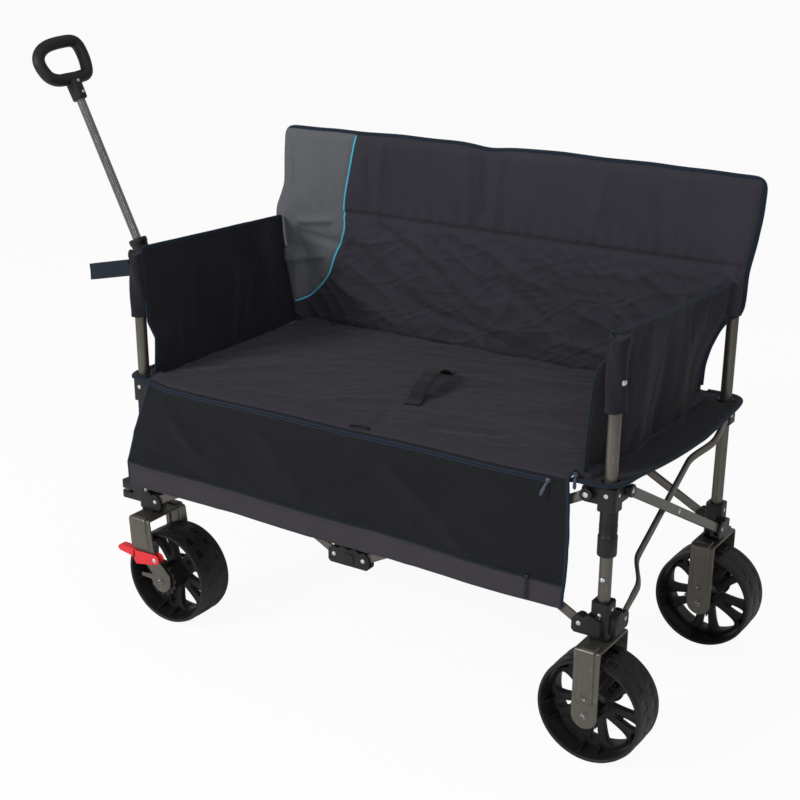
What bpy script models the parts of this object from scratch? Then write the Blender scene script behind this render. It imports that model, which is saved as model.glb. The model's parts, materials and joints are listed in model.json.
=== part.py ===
"""Hand-pulled folding wagon whose open side drops down, so that it also serves as a two-seat bench.

Metres, +Z up. X runs along the wagon: the handle is at -X, which is called the front. The backrest is on the
+Y side, called right, and the open side is at -Y, called left. The origin is on the ground, under the middle
of everything. Every scissor bar has one length, so both ends and both sides fold together.
"""

import math

import bmesh
import bpy
from mathutils import Matrix, Vector

# Clearances
GAP = 0.0003
RUNNING_GAP = 0.0005

# Frame
TRACK_Y = 0.500
POST_D = 0.022
POST_WALL = 0.0016
OPEN_POST_TOP = 0.744
BACK_POST_TOP = 0.905
POST_FOOT = 0.246
PIVOT_REACH = 0.032
LOW_PIVOT_Z = 0.252
CENTRE_REACH = 0.032
OPEN_RISE = 0.232
FOLDED_SPAN = 0.199

# Corner blocks
BLOCK_HALF = 0.0165
BLOCK_ROUND = 0.004
LOW_BLOCK_BOTTOM = 0.2225
LOW_BLOCK_TOP = 0.292
UP_BLOCK_BOTTOM = 0.456
UP_BLOCK_TOP = 0.4985
CHEEK = 0.004
LUG_INSIDE = 0.0085
ARM_BELOW = 0.018
ARM_PAST_PIVOT = 0.013

# Scissor bars
BAR_THICK = 0.006
STRAIGHT_WIDTH = 0.018
BENT_WIDTH = 0.014
BENT_STEP = 0.027
BEND_START = 0.20
BEND_LENGTH = 0.07
PIN_D = 0.008
CAP_R = 0.0115
CAP_THICK = 0.004

# Post coupler and push button
COUPLER_LOW = 0.376
COUPLER_STEP = 0.412
COUPLER_TOP = 0.456
COUPLER_R = 0.0152
COUPLER_LOW_R = 0.0166
BUTTON_Z = 0.3335
BUTTON_R = 0.0044
BUTTON_PROUD = 0.0026
BUTTON_LENGTH = 0.009

# Wheels
WHEEL_R = 0.098
WHEEL_WIDTH = 0.0834
WHEEL_SIDES = 30
TREAD_FLAT = 0.060
TREAD_THICK = 0.0085
RIM_TAPER = 0.0035
WEB_THICK = 0.012
HUB_R = 0.016
HUB_HALF = 0.0525
SPOKE_PAIRS = 5
RIB_THICK = 0.0026
RIB_HEIGHT = 0.004
RATCHET_R = 0.034
RATCHET_ROOT_R = 0.0305
RATCHET_TEETH = 14
RATCHET_HALF = 0.0492
RATCHET_THICK = 0.010

# Forks
FORK_HALF = 0.056
FORK_PLATE = 0.003
CROWN_TOP = 0.2220
FORK_BEND_R = 0.008
FORK_WIDTH = 0.045
FORK_END_R = 0.0225
TRAIL = 0.062
PANEL_RAISE = 0.0012
PANEL_INSET = 0.010
KINGPIN_R = 0.0108
AXLE_R = 0.005
AXLE_HEAD_R = 0.0085
AXLE_HEAD = 0.0055

# Brake lever
LEVER_PIVOT_AHEAD = 0.0105
LEVER_PIVOT_ABOVE = 0.0444
LEVER_CHEEK = 0.003
LEVER_REACH = 0.096

# Pull handle
EAR_REACH = 0.060
EAR_ROOT = 0.039
LINK_Z = 0.253
LINK_THICK = 0.006
LINK_END_R = 0.009
LINK_HALF_SPACING = 0.030
HANDLE_Z = 0.270
HANDLE_LEAN = math.radians(25.9)
OUTER_TUBE_R = 0.0125
OUTER_TUBE_WALL = 0.0015
OUTER_TUBE_TOP = 0.458
FOOT_PLUG_TOP = 0.045
COLLAR_R = 0.0195
COLLAR_LOW = 0.450
COLLAR_TOP = 0.500
INNER_TUBE_R = 0.0093
INNER_TUBE_WALL = 0.0013
INNER_TUBE_LOW = 0.392
FLUTES = 8
STEM_LOW = 0.785
GRIP_Z = 0.866
GRIP_HALF_WIDTH = 0.0625
GRIP_HALF_HEIGHT = 0.040
GRIP_CORNER_R = 0.034
GRIP_SECTION = 0.0125
GRIP_TURN = math.radians(12)

# Fabric
CLOTH = 0.0026
LEDGE_Z = 0.499
LEDGE_IN = 0.048
LEDGE_OUT = 0.040
LEDGE_PAST_SIDE = 0.024
SEAT_TO_END = 0.033
SEAT_PAST_OPEN_SIDE = 0.002
SEAT_TO_BACK = 0.024
SEAT_EDGE = 0.009
SEAT_CROWN = 0.010
BACK_BOTTOM = 0.506
BACK_TOP = 0.924
BACK_SEAM = 0.757
BACK_EDGE = 0.0145
BACK_CROWN = 0.006
CHANNEL_Z = 0.668
WALL_TOP = 0.745
WALL_LEAN = 0.008
WALL_DIP = 0.014
WALL_BULGE = 0.004
WALL_FOOT = 0.115
WALL_FOOT_SPREAD = 0.020
WALL_HOLLOW = 1.6
WALL_NEAR_IN = 0.004
SLEEVE_LOW = 0.628
PANEL_OUT = 0.0315
PANEL_TOP = 0.513
PANEL_ROLL = 0.010
PANEL_BOTTOM = 0.276
PANEL_FOLD = 0.0022
PANEL_FRONT_IN = 0.044
PANEL_FLARE = 0.070
PANEL_REAR_IN = 0.062
STRAP_NEAR = -0.133
STRAP_FAR = 0.072
STRAP_X = 0.020
STRAP_WIDTH = 0.032
STRAP_RISE = 0.030
STRAP_THICK = 0.003
LOOP_LENGTH = 0.110
LOOP_WIDTH = 0.036

# Sizes that follow from the ones above
POST_R = POST_D / 2
CHEEK_IN = BLOCK_HALF + GAP + BAR_THICK + GAP
CHEEK_OUT = CHEEK_IN + CHEEK
BAR_PLANE = BLOCK_HALF + GAP + BAR_THICK / 2
UP_PIVOT_Z = LOW_PIVOT_Z + OPEN_RISE
SPAN = TRACK_Y - 2 * PIVOT_REACH
TRACK_X = 2 * (PIVOT_REACH + SPAN + CENTRE_REACH)
BAR_LENGTH = math.hypot(SPAN, OPEN_RISE)
FOLD_CLIMB = math.sqrt(BAR_LENGTH**2 - FOLDED_SPAN**2) - OPEN_RISE
FOLD_Y = (SPAN - FOLDED_SPAN) / 2
FOLD_X = SPAN - FOLDED_SPAN
BAR_ANGLE = math.atan2(OPEN_RISE, SPAN)
BAR_ANGLE_FOLDED = math.atan2(OPEN_RISE + FOLD_CLIMB, FOLDED_SPAN)
RIM_LIP_R = WHEEL_R - TREAD_THICK
RIM_FLOOR_R = RIM_LIP_R - RIM_TAPER
AXLE_Z = WHEEL_R * math.cos(math.pi / WHEEL_SIDES)
EAR_X = -TRACK_X / 2 - EAR_REACH
LINK_ACROSS = TRACK_Y / 2 - LINK_HALF_SPACING
LINK_ACROSS_FOLDED = LINK_ACROSS - FOLD_Y
LINK_BACK = (LINK_ACROSS_FOLDED**2 - LINK_ACROSS**2 + FOLD_X**2) / (2 * FOLD_X)
LINK_LENGTH = math.hypot(LINK_ACROSS, LINK_BACK)
SLEEVE_R = BLOCK_HALF
LEDGE_INNER = TRACK_X / 2 - LEDGE_IN
LEDGE_OUTER = TRACK_X / 2 + LEDGE_OUT
LEDGE_SIDE = TRACK_Y / 2 + LEDGE_PAST_SIDE
SEAT_HALF_X = TRACK_X / 2 - SEAT_TO_END
SEAT_FRONT = TRACK_Y / 2 + SEAT_PAST_OPEN_SIDE
SEAT_BACK = TRACK_Y / 2 - SEAT_TO_BACK
WALL_NEAR = TRACK_Y / 2 - WALL_NEAR_IN
PANEL_FRONT_TOP = TRACK_X / 2 - PANEL_FRONT_IN
PANEL_REAR = TRACK_X / 2 - PANEL_REAR_IN
BRACKET_X = EAR_X + LINK_BACK

SIDES = {"left": -1, "right": 1}
ENDS = {"front": -1, "rear": 1}
ROUND = 16


def clear_scene():
    for old in list(bpy.data.objects):
        bpy.data.objects.remove(old, do_unlink=True)


def material(name, colour, roughness, metallic=0.0):
    made = bpy.data.materials.new(name)
    made.use_nodes = True
    shader = made.node_tree.nodes["Principled BSDF"]
    shader.inputs["Base Color"].default_value = (*colour, 1.0)
    shader.inputs["Roughness"].default_value = roughness
    shader.inputs["Metallic"].default_value = metallic
    made.diffuse_color = (*colour, 1.0)
    return made


def mesh_of(shape):
    """A mesh from a bmesh, with its faces pointing out."""
    bmesh.ops.recalc_face_normals(shape, faces=shape.faces)
    mesh = bpy.data.meshes.new("shape")
    shape.to_mesh(mesh)
    shape.free()
    return mesh


def mesh_from(points, faces):
    shape = bmesh.new()
    corners = [shape.verts.new(p) for p in points]
    for face in faces:
        shape.faces.new([corners[i] for i in face])
    return mesh_of(shape)


def rounded(corners, steps=3):
    """The outline through (a, b, radius) corners, each turned into an arc of its radius."""
    outline = []
    for i, (a, b, radius) in enumerate(corners):
        here = Vector((a, b))
        before = Vector(corners[i - 1][:2]) - here
        after = Vector(corners[(i + 1) % len(corners)][:2]) - here
        half = before.angle(after) / 2
        if radius <= 0 or half > math.radians(89):
            outline.append(tuple(here))
            continue
        back = min(radius / math.tan(half), 0.49 * before.length, 0.49 * after.length)
        start = here + before.normalized() * back
        end = here + after.normalized() * back
        for k in range(steps + 1):
            t = k / steps
            outline.append(tuple((1 - t) ** 2 * start + 2 * t * (1 - t) * here + t * t * end))
    return outline


def circle(radius, sides=ROUND, centre=(0.0, 0.0), turn=0.0):
    steps = (turn + 2 * math.pi * k / sides for k in range(sides))
    return [(centre[0] + radius * math.cos(a), centre[1] + radius * math.sin(a)) for a in steps]


def around(radius, sides=ROUND):
    """The radius of a polygon of this many sides that clears a round of the given radius."""
    return (radius + GAP) / math.cos(math.pi / sides)


def stadium(start, end, radius, steps=6):
    """A slot outline: two half rounds about start and end."""
    start, end = Vector(start), Vector(end)
    heading = math.atan2(end.y - start.y, end.x - start.x)
    outline = []
    for centre, first in ((end, heading - math.pi / 2), (start, heading + math.pi / 2)):
        for k in range(steps + 1):
            angle = first + math.pi * k / steps
            outline.append((centre.x + radius * math.cos(angle), centre.y + radius * math.sin(angle)))
    return outline


def in_space(axis, a, b, depth):
    return {"X": (depth, a, b), "Y": (a, depth, b), "Z": (a, b, depth)}[axis]


def prism(outline, low, high, axis="Z"):
    """A closed solid: the outline pushed from low to high along the axis."""
    n = len(outline)
    points = [in_space(axis, a, b, depth) for depth in (low, high) for a, b in outline]
    walls = [(i, (i + 1) % n, n + (i + 1) % n, n + i) for i in range(n)]
    return mesh_from(points, [tuple(range(n)), tuple(range(n, 2 * n)), *walls])


def box(low, high, axis="Z"):
    (a0, b0, c0), (a1, b1, c1) = low, high
    return prism([(a0, b0), (a1, b0), (a1, b1), (a0, b1)], c0, c1, axis)


def tube(outer, inner, low, high, axis="Z"):
    """A pipe whose outer and inner outlines have as many points as each other."""
    n = len(outer)
    rings = [(outer, low), (outer, high), (inner, high), (inner, low)]
    points = [in_space(axis, a, b, depth) for outline, depth in rings for a, b in outline]
    faces = []
    for ring in range(4):
        for i in range(n):
            j = (i + 1) % n
            after = (ring + 1) % 4
            faces.append((ring * n + i, ring * n + j, after * n + j, after * n + i))
    return mesh_from(points, faces)


def turned(profile, sides, axis="Z", turn=0.0):
    """A closed profile of (radius, height) points, all off the axis, turned about it."""
    n = len(profile)
    points = []
    for k in range(sides):
        angle = turn + 2 * math.pi * k / sides
        for radius, height in profile:
            points.append(in_space(axis, radius * math.cos(angle), radius * math.sin(angle), height))
    faces = []
    for k in range(sides):
        after = (k + 1) % sides
        for i in range(n):
            j = (i + 1) % n
            faces.append((k * n + i, k * n + j, after * n + j, after * n + i))
    return mesh_from(points, faces)


def sheet(front, back, across, up):
    """A closed soft solid between two surfaces, each a function of (u, v) from 0 to 1."""
    points = []
    for surface in (front, back):
        for j in range(up + 1):
            points += [surface(i / across, j / up) for i in range(across + 1)]
    row = across + 1
    layer = row * (up + 1)
    faces = []
    for j in range(up):
        for i in range(across):
            corner = j * row + i
            quad = (corner, corner + 1, corner + row + 1, corner + row)
            faces += [quad, tuple(layer + c for c in reversed(quad))]
    rim = [i for i in range(across)]
    rim += [j * row + across for j in range(up)]
    rim += [up * row + i for i in range(across, 0, -1)]
    rim += [j * row for j in range(up, 0, -1)]
    for k, corner in enumerate(rim):
        after = rim[(k + 1) % len(rim)]
        faces.append((corner, after, layer + after, layer + corner))
    return mesh_from(points, faces)


def carve(mesh, add=(), cut=(), keep=()):
    """The mesh with others joined to it, cut from it, or used as the limit of what is kept."""
    scene = bpy.context.scene.collection.objects
    work = bpy.data.objects.new("work", mesh)
    scene.link(work)
    tools = []
    for operation, shapes in (("UNION", add), ("INTERSECT", keep), ("DIFFERENCE", cut)):
        for shape in shapes:
            tool = bpy.data.objects.new("tool", shape)
            scene.link(tool)
            tools.append(tool)
            step = work.modifiers.new(operation.title(), "BOOLEAN")
            step.operation = operation
            step.solver = "EXACT"
            step.object = tool
    graph = bpy.context.evaluated_depsgraph_get()
    result = bpy.data.meshes.new_from_object(work.evaluated_get(graph))
    for used in [work, *tools]:
        bpy.data.objects.remove(used, do_unlink=True)
    return result


def moved(mesh, matrix):
    """A copy of the mesh under a matrix, turned right side out again after a mirror."""
    copy = mesh.copy()
    copy.transform(matrix)
    if matrix.determinant() < 0:
        copy.flip_normals()
    return copy


def place(name, mesh, finish, at=(0.0, 0.0, 0.0), parent=None, matrix=None, smooth=35):
    obj = bpy.data.objects.new(name, mesh)
    bpy.context.scene.collection.objects.link(obj)
    mesh.materials.clear()
    mesh.materials.append(finish)
    mesh.shade_smooth()
    mesh.set_sharp_from_angle(angle=math.radians(smooth))
    obj.parent = parent
    if matrix is None:
        obj.location = at
    else:
        obj.matrix_local = matrix
    return obj


def guide(name, at, parent=None, turn=(0.0, 0.0, 0.0)):
    empty = bpy.data.objects.new(name, None)
    bpy.context.scene.collection.objects.link(empty)
    empty.parent = parent
    empty.location = at
    empty.rotation_euler = turn
    return empty


# Posts, couplers and push buttons


def post_mesh(top, with_button):
    outer = circle(POST_R)
    inner = circle(POST_R - POST_WALL)
    pipe = tube(outer, inner, POST_FOOT, top)
    if not with_button:
        return pipe
    hole = prism(circle(BUTTON_R + GAP, 12, (0, BUTTON_Z)), -2 * POST_R, 0, "Y")
    return carve(pipe, cut=[hole])


def coupler_mesh():
    bore = around(POST_R)
    profile = [
        (bore, COUPLER_LOW),
        (COUPLER_LOW_R, COUPLER_LOW),
        (COUPLER_LOW_R, COUPLER_STEP),
        (COUPLER_R, COUPLER_STEP + 0.0015),
        (COUPLER_R, COUPLER_TOP - 0.003),
        (COUPLER_R - 0.002, COUPLER_TOP),
        (bore, COUPLER_TOP),
    ]
    return turned(profile, ROUND)


def button_mesh():
    """A domed pin that points at -Y from the post's axis."""
    face = -POST_R - BUTTON_PROUD
    pin = prism(circle(BUTTON_R, 12), face + 0.001, face + BUTTON_LENGTH, "Y")
    dome = prism(circle(BUTTON_R * 0.7, 12), face, face + 0.002, "Y")
    return carve(pin, add=[dome])


# Corner and centre blocks. Each is drawn for the rear right corner, whose outer faces look along +X and +Y.


def arm_matrix(along):
    """Takes arm axes (inward, outward, up) to the block's axes for the arm on that side."""
    columns = {"side": ((-1, 0), (0, 1)), "end": ((0, -1), (1, 0))}[along]
    matrix = Matrix.Identity(4)
    for k, (x, y) in enumerate(columns):
        matrix[0][k], matrix[1][k] = x, y
    return matrix


def clevis_outline(reach, pivot_z):
    """The humped side view of a clevis, as (inward, up) points."""
    below, past = pivot_z - ARM_BELOW, reach + ARM_PAST_PIVOT
    return rounded(
        [
            (-0.006, below, 0),
            (past, below, 0.005),
            (past, pivot_z + 0.007, 0.006),
            (reach + 0.004, pivot_z + 0.015, 0.004),
            (reach - 0.005, pivot_z + 0.015, 0.004),
            (reach - 0.009, pivot_z + 0.010, 0.002),
            (reach - 0.013, pivot_z + 0.018, 0.004),
            (reach - 0.022, pivot_z + 0.018, 0.004),
            (-0.006, pivot_z + 0.010, 0),
        ],
        steps=1,
    )


def clevis_slot(reach, pivot_z):
    """The room in which a bar's lower end turns, open at the top and away from the post."""
    room = STRAIGHT_WIDTH / 2 + 0.001
    low, far = pivot_z - room, reach + 3 * ARM_PAST_PIVOT
    near, top = reach - room, pivot_z + 4 * ARM_BELOW
    return rounded([(near, low, 0.007), (far, low, 0), (far, top, 0), (near, top, 0)], steps=2)


def post_bore(low, high):
    return prism(circle(around(POST_R)), low - 0.01, high + 0.01)


def block_core(low, high):
    h = BLOCK_HALF
    corners = [(-h, -h, BLOCK_ROUND), (h, -h, BLOCK_ROUND), (h, h, BLOCK_ROUND), (-h, h, BLOCK_ROUND)]
    return prism(rounded(corners, steps=1), low, high)


def lower_block_mesh(with_ear):
    add, cut = [], []
    for along in ("side", "end"):
        arm = prism(clevis_outline(PIVOT_REACH, LOW_PIVOT_Z), LUG_INSIDE, CHEEK_OUT, "Y")
        slot = prism(clevis_slot(PIVOT_REACH, LOW_PIVOT_Z), BLOCK_HALF, CHEEK_IN, "Y")
        add.append(moved(arm, arm_matrix(along)))
        cut.append(moved(slot, arm_matrix(along)))
    if with_ear:
        add.append(ear_mesh())
        cut.append(ear_slot_mesh())
    cut.append(post_bore(LOW_BLOCK_BOTTOM, LOW_BLOCK_TOP))
    return carve(block_core(LOW_BLOCK_BOTTOM, LOW_BLOCK_TOP), add=add, cut=cut)


def ear_mesh():
    """The forward ear that carries the outer end of a handle link, between an upper and a lower lobe."""
    tip = EAR_REACH + LINK_END_R + 0.002
    side = LINK_END_R + 0.003
    corners = [(0.010, -0.011, 0), (tip, -0.011, 0.008), (tip, side, 0.008), (0.010, side, 0)]
    return prism(rounded(corners), LINK_Z - 0.017, LINK_Z + 0.019)


def ear_slot_mesh():
    """The room between the lobes, open on three sides, so that the link can swing through."""
    half = LINK_THICK / 2 + RUNNING_GAP
    far, past = 2 * EAR_REACH, 3 * LINK_END_R
    return box((EAR_ROOT, -past, LINK_Z - half), (far, past, LINK_Z + half))


def lug_outline(reach, pivot_z):
    below = pivot_z - 0.016
    past = reach + 0.012
    top = UP_BLOCK_TOP - 0.002
    return rounded(
        [(-0.006, below, 0), (past - 0.006, below, 0.005), (past, pivot_z, 0.006), (past, top, 0.005), (-0.006, top, 0)],
        steps=2,
    )


def upper_block_mesh():
    add = []
    for along in ("side", "end"):
        lug = prism(lug_outline(PIVOT_REACH, UP_PIVOT_Z), LUG_INSIDE, BLOCK_HALF, "Y")
        add.append(moved(lug, arm_matrix(along)))
    core = block_core(UP_BLOCK_BOTTOM, UP_BLOCK_TOP)
    return carve(core, add=add, cut=[post_bore(UP_BLOCK_BOTTOM, UP_BLOCK_TOP)])


def both_ways(outline):
    """The outline joined to its mirror image across the middle of a side."""
    shapes = [prism(outline, LUG_INSIDE, CHEEK_OUT, "Y")]
    shapes.append(moved(shapes[0], Matrix.Scale(-1, 4, (1, 0, 0))))
    return shapes


def centre_lower_mesh():
    right, left = both_ways(clevis_outline(CENTRE_REACH, LOW_PIVOT_Z))
    slot = prism(clevis_slot(CENTRE_REACH, LOW_PIVOT_Z), BLOCK_HALF, CHEEK_IN, "Y")
    boss = prism(circle(0.013, ROUND, (0, LOW_PIVOT_Z - 0.004)), 0.0, CHEEK_OUT + 0.002, "Y")
    return carve(right, add=[left, boss], cut=[slot, moved(slot, Matrix.Scale(-1, 4, (1, 0, 0)))])


def centre_upper_mesh():
    ends = (-CENTRE_REACH, UP_PIVOT_Z), (CENTRE_REACH, UP_PIVOT_Z)
    plate = prism(stadium(*ends, 0.0125), LUG_INSIDE, BLOCK_HALF, "Y")
    rib = prism(stadium(*ends, 0.006), 0.002, LUG_INSIDE + 0.002, "Y")
    return carve(plate, add=[rib])


# Scissor bars. Their own axes: X along the bar from its lower pivot, Y outward, Z across its width.


def bar_loft(width, stations):
    """A flat bar with rounded edges: each station is (distance, share of the width, outward offset)."""
    half, t = width / 2, BAR_THICK / 2
    edge = min(0.002, t * 0.8)
    points, faces = [], []
    for along, share, out in stations:
        w = half * share
        e = min(edge, w * 0.6)
        ring = [(t, w - e), (t - e, w), (e - t, w), (-t, w - e), (-t, e - w), (e - t, -w), (t - e, -w), (t, e - w)]
        points += [(along, out + y, z) for y, z in ring]
    for k in range(len(stations) - 1):
        for i in range(8):
            j = (i + 1) % 8
            faces.append((8 * k + i, 8 * k + j, 8 * k + 8 + j, 8 * k + 8 + i))
    last = 8 * (len(stations) - 1)
    faces += [tuple(range(7, -1, -1)), tuple(range(last, last + 8))]
    return mesh_from(points, faces)


def round_end(width, sign, at):
    """Stations that close a bar in a half round about a pivot."""
    half = width / 2
    turns = (math.radians(a) for a in (76, 46, 0))
    found = [(at + sign * half * math.sin(a), math.cos(a), 0.0) for a in turns]
    return found if sign < 0 else found[::-1]


def end_cap():
    return prism(circle(CAP_R, 12, (BAR_LENGTH, 0)), BAR_THICK / 2 - 0.001, BAR_THICK / 2 + CAP_THICK, "Y")


def straight_bar_mesh():
    stations = round_end(STRAIGHT_WIDTH, -1, 0.0) + round_end(STRAIGHT_WIDTH, 1, BAR_LENGTH)
    bar = bar_loft(STRAIGHT_WIDTH, stations)
    reach = BENT_STEP - BAR_THICK / 2 - RUNNING_GAP
    pin = prism(circle(PIN_D / 2, 8, (BAR_LENGTH / 2, 0)), -reach, BAR_THICK / 2 + 0.0015, "Y")
    return carve(bar, add=[pin, end_cap()])


def bent_bar_mesh():
    first, last = BEND_START * BAR_LENGTH, (1 - BEND_START) * BAR_LENGTH
    middle = []
    for start, sign in ((first, 1), (last, -1)):
        for t in (-0.5, -0.2, 0.2, 0.5):
            ease = 0.5 - 0.5 * math.cos(math.pi * (t + 0.5))
            step = ease if sign > 0 else 1 - ease
            middle.append((start + t * BEND_LENGTH, 1.0, -BENT_STEP * step))
    ends = round_end(BENT_WIDTH, -1, 0.0), round_end(BENT_WIDTH, 1, BAR_LENGTH)
    return carve(bar_loft(BENT_WIDTH, ends[0] + middle + ends[1]), add=[end_cap()])


def bar_matrix(pivot, towards, outward):
    """Lays a bar from its lower pivot towards its upper one, with its cap outward."""
    along, out = Vector(towards).normalized(), Vector(outward)
    across = along.cross(out)
    matrix = Matrix((along, out, across)).transposed().to_4x4()
    matrix.translation = pivot
    return matrix


# Wheels, forks and brakes. The wheel turns about Y through its own origin.


def rim_mesh():
    """The tyre band and the barrel under it, which narrows from both lips to the web."""
    half, flat = WHEEL_WIDTH / 2, TREAD_FLAT / 2
    outside = [
        (RIM_FLOOR_R, WEB_THICK / 2),
        (RIM_LIP_R, half - 0.001),
        (WHEEL_R - 0.0035, half),
        (WHEEL_R, flat),
    ]
    profile = outside + [(r, -y) for r, y in reversed(outside)]
    return turned(profile, WHEEL_SIDES, "Y", math.pi / 2 + math.pi / WHEEL_SIDES)


def polar(radius, degrees):
    angle = math.radians(degrees)
    return radius * math.cos(angle), radius * math.sin(angle)


def wheel_windows():
    """One broad leaf between spoke pairs and one slim one inside each pair."""
    outer = RIM_FLOOR_R - 0.004
    step = 360 / SPOKE_PAIRS
    for k in range(SPOKE_PAIRS):
        middle = 90 + k * step
        leaf = [(*polar(HUB_R + 0.008, middle), 0.004)]
        leaf += [(*polar(0.62 * outer, middle + 20), 0.03), (*polar(outer, middle + 21), 0.012)]
        leaf += [(*polar(outer, middle - 21), 0.012), (*polar(0.62 * outer, middle - 20), 0.03)]
        yield prism(rounded(leaf, 2), -WEB_THICK, WEB_THICK, "Y")
        slim = [(*polar(0.52 * outer, middle + step / 2), 0)]
        slim += [(*polar(outer, middle + step / 2 + 8), 0.004), (*polar(outer, middle + step / 2 - 8), 0.004)]
        yield prism(rounded(slim, 1), -WEB_THICK, WEB_THICK, "Y")


def rim_ribs():
    """A plate at each spoke, which stiffens the barrel on both sides of the web."""
    half = WHEEL_WIDTH / 2 - 0.003
    for k in range(SPOKE_PAIRS):
        for side in (-1, 1):
            angle = 90 + (k + 0.5) * 360 / SPOKE_PAIRS + side * 9.5
            low, high = RIM_FLOOR_R - RIB_HEIGHT, RIM_LIP_R + 0.002
            rib = box((low, -RIB_THICK / 2, -half), (high, RIB_THICK / 2, half), "Y")
            yield moved(rib, Matrix.Rotation(-math.radians(angle), 4, "Y"))


def ratchet_mesh():
    """The toothed ring that the brake pawl drops into, on its drum, on the wheel's -Y side."""
    teeth = []
    for k in range(RATCHET_TEETH):
        for share, radius in ((0.0, RATCHET_ROOT_R), (0.4, RATCHET_ROOT_R), (0.5, RATCHET_R), (0.9, RATCHET_R)):
            teeth.append(polar(radius, 360 * (k + share) / RATCHET_TEETH))
    ring = prism(teeth, -RATCHET_HALF, -RATCHET_HALF + RATCHET_THICK, "Y")
    drum = prism(circle(RATCHET_ROOT_R - 0.003, 14), -RATCHET_HALF + RATCHET_THICK - 0.001, 0.0, "Y")
    return carve(ring, add=[drum])


def wheel_mesh(with_ratchet):
    web = prism(circle((RIM_FLOOR_R + WHEEL_R) / 2, WHEEL_SIDES), -WEB_THICK / 2, WEB_THICK / 2, "Y")
    hub = prism(circle(HUB_R, 14), -HUB_HALF, HUB_HALF, "Y")
    add = [rim_mesh(), hub, *rim_ribs()]
    if with_ratchet:
        add.append(ratchet_mesh())
    bore = prism(circle(around(AXLE_R, 12), 12), -2 * HUB_HALF, 2 * HUB_HALF, "Y")
    pierced = carve(web, cut=list(wheel_windows()))
    return carve(pierced, add=add, cut=[bore])


def fork_edges(trail):
    """Front and back edges of a fork arm, from the crown down, as (x, z) points, and its end centre."""
    half = FORK_WIDTH / 2
    if trail == 0:
        return [(-half, CROWN_TOP)], [(half, CROWN_TOP)]
    knee, ankle = 0.176, 0.138
    front = [(-0.2 * trail, CROWN_TOP), (-0.06 * trail, knee), (0.30 * trail, ankle)]
    back = [(0.71 * trail, CROWN_TOP), (0.72 * trail, knee), (1.13 * trail, ankle)]
    return front, back


def fork_outline(trail):
    front, back = fork_edges(trail)
    end = [(trail + FORK_END_R * math.cos(a), AXLE_Z + FORK_END_R * math.sin(a)) for a in half_turn(6)]
    return [*front, *end, *reversed(back)]


def half_turn(steps):
    """Angles of the lower half of a round, from its -X side to its +X side."""
    return [math.pi + math.pi * k / steps for k in range(steps + 1)]


def fork_mesh(trail):
    plate, half = FORK_PLATE, FORK_HALF
    corners = [(-half, 0, 0), (-half, CROWN_TOP, FORK_BEND_R), (half, CROWN_TOP, FORK_BEND_R), (half, 0, 0)]
    outer = rounded(corners, steps=2)
    inner_r = FORK_BEND_R - plate
    top, side = CROWN_TOP - plate, half - plate
    inner = rounded([(-side, -0.01, 0), (-side, top, inner_r), (side, top, inner_r), (side, -0.01, 0)], steps=2)
    channel = carve(prism(outer, -0.1, 0.15, "X"), cut=[prism(inner, -0.2, 0.25, "X")])
    blank = prism(fork_outline(trail), -2 * half, 2 * half, "Y")
    u_plate = carve(channel, keep=[blank])
    front, back = fork_edges(trail)
    panel_floor = AXLE_Z + FORK_END_R + 0.006
    panel = fork_panel(front, back, trail, panel_floor)
    add = [prism(panel, s * half - 0.001 * s, s * (half + PANEL_RAISE), "Y") for s in (-1, 1)]
    add.append(prism(circle(KINGPIN_R, 12), CROWN_TOP - 0.002, POST_FOOT - RUNNING_GAP))
    reach = half + AXLE_HEAD
    add.append(prism(circle(AXLE_R, 8, (trail, AXLE_Z)), -reach, reach, "Y"))
    for s in (-1, 1):
        head = circle(AXLE_HEAD_R, 6, (trail, AXLE_Z))
        add.append(prism(head, s * (half - 0.001), s * (half + AXLE_HEAD - 0.001), "Y"))
    return carve(u_plate, add=add)


def fork_panel(front, back, trail, floor):
    """The raised panel down the middle of a fork arm."""
    top = CROWN_TOP - FORK_BEND_R - 0.002
    low_front = (trail - FORK_END_R + PANEL_INSET + 0.002, floor, 0.005)
    low_back = (trail + FORK_END_R - PANEL_INSET - 0.002, floor, 0.005)
    if trail == 0:
        half = FORK_WIDTH / 2 - PANEL_INSET
        return rounded([(-half, top, 0.002), low_front, low_back, (half, top, 0.002)], 2)
    down = [(x + PANEL_INSET, z, 0.0) for x, z in front[1:2]]
    up = [(x - PANEL_INSET, z, 0.0) for x, z in back[1:2]]
    first = (front[0][0] + PANEL_INSET, top, 0.002)
    last = (back[0][0] - PANEL_INSET, top, 0.002)
    low_front = (front[2][0] + PANEL_INSET + 0.004, floor, 0.004)
    low_back = (back[2][0] - PANEL_INSET, floor, 0.004)
    return rounded([first, *down, low_front, low_back, *up, last], 2)


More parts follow.
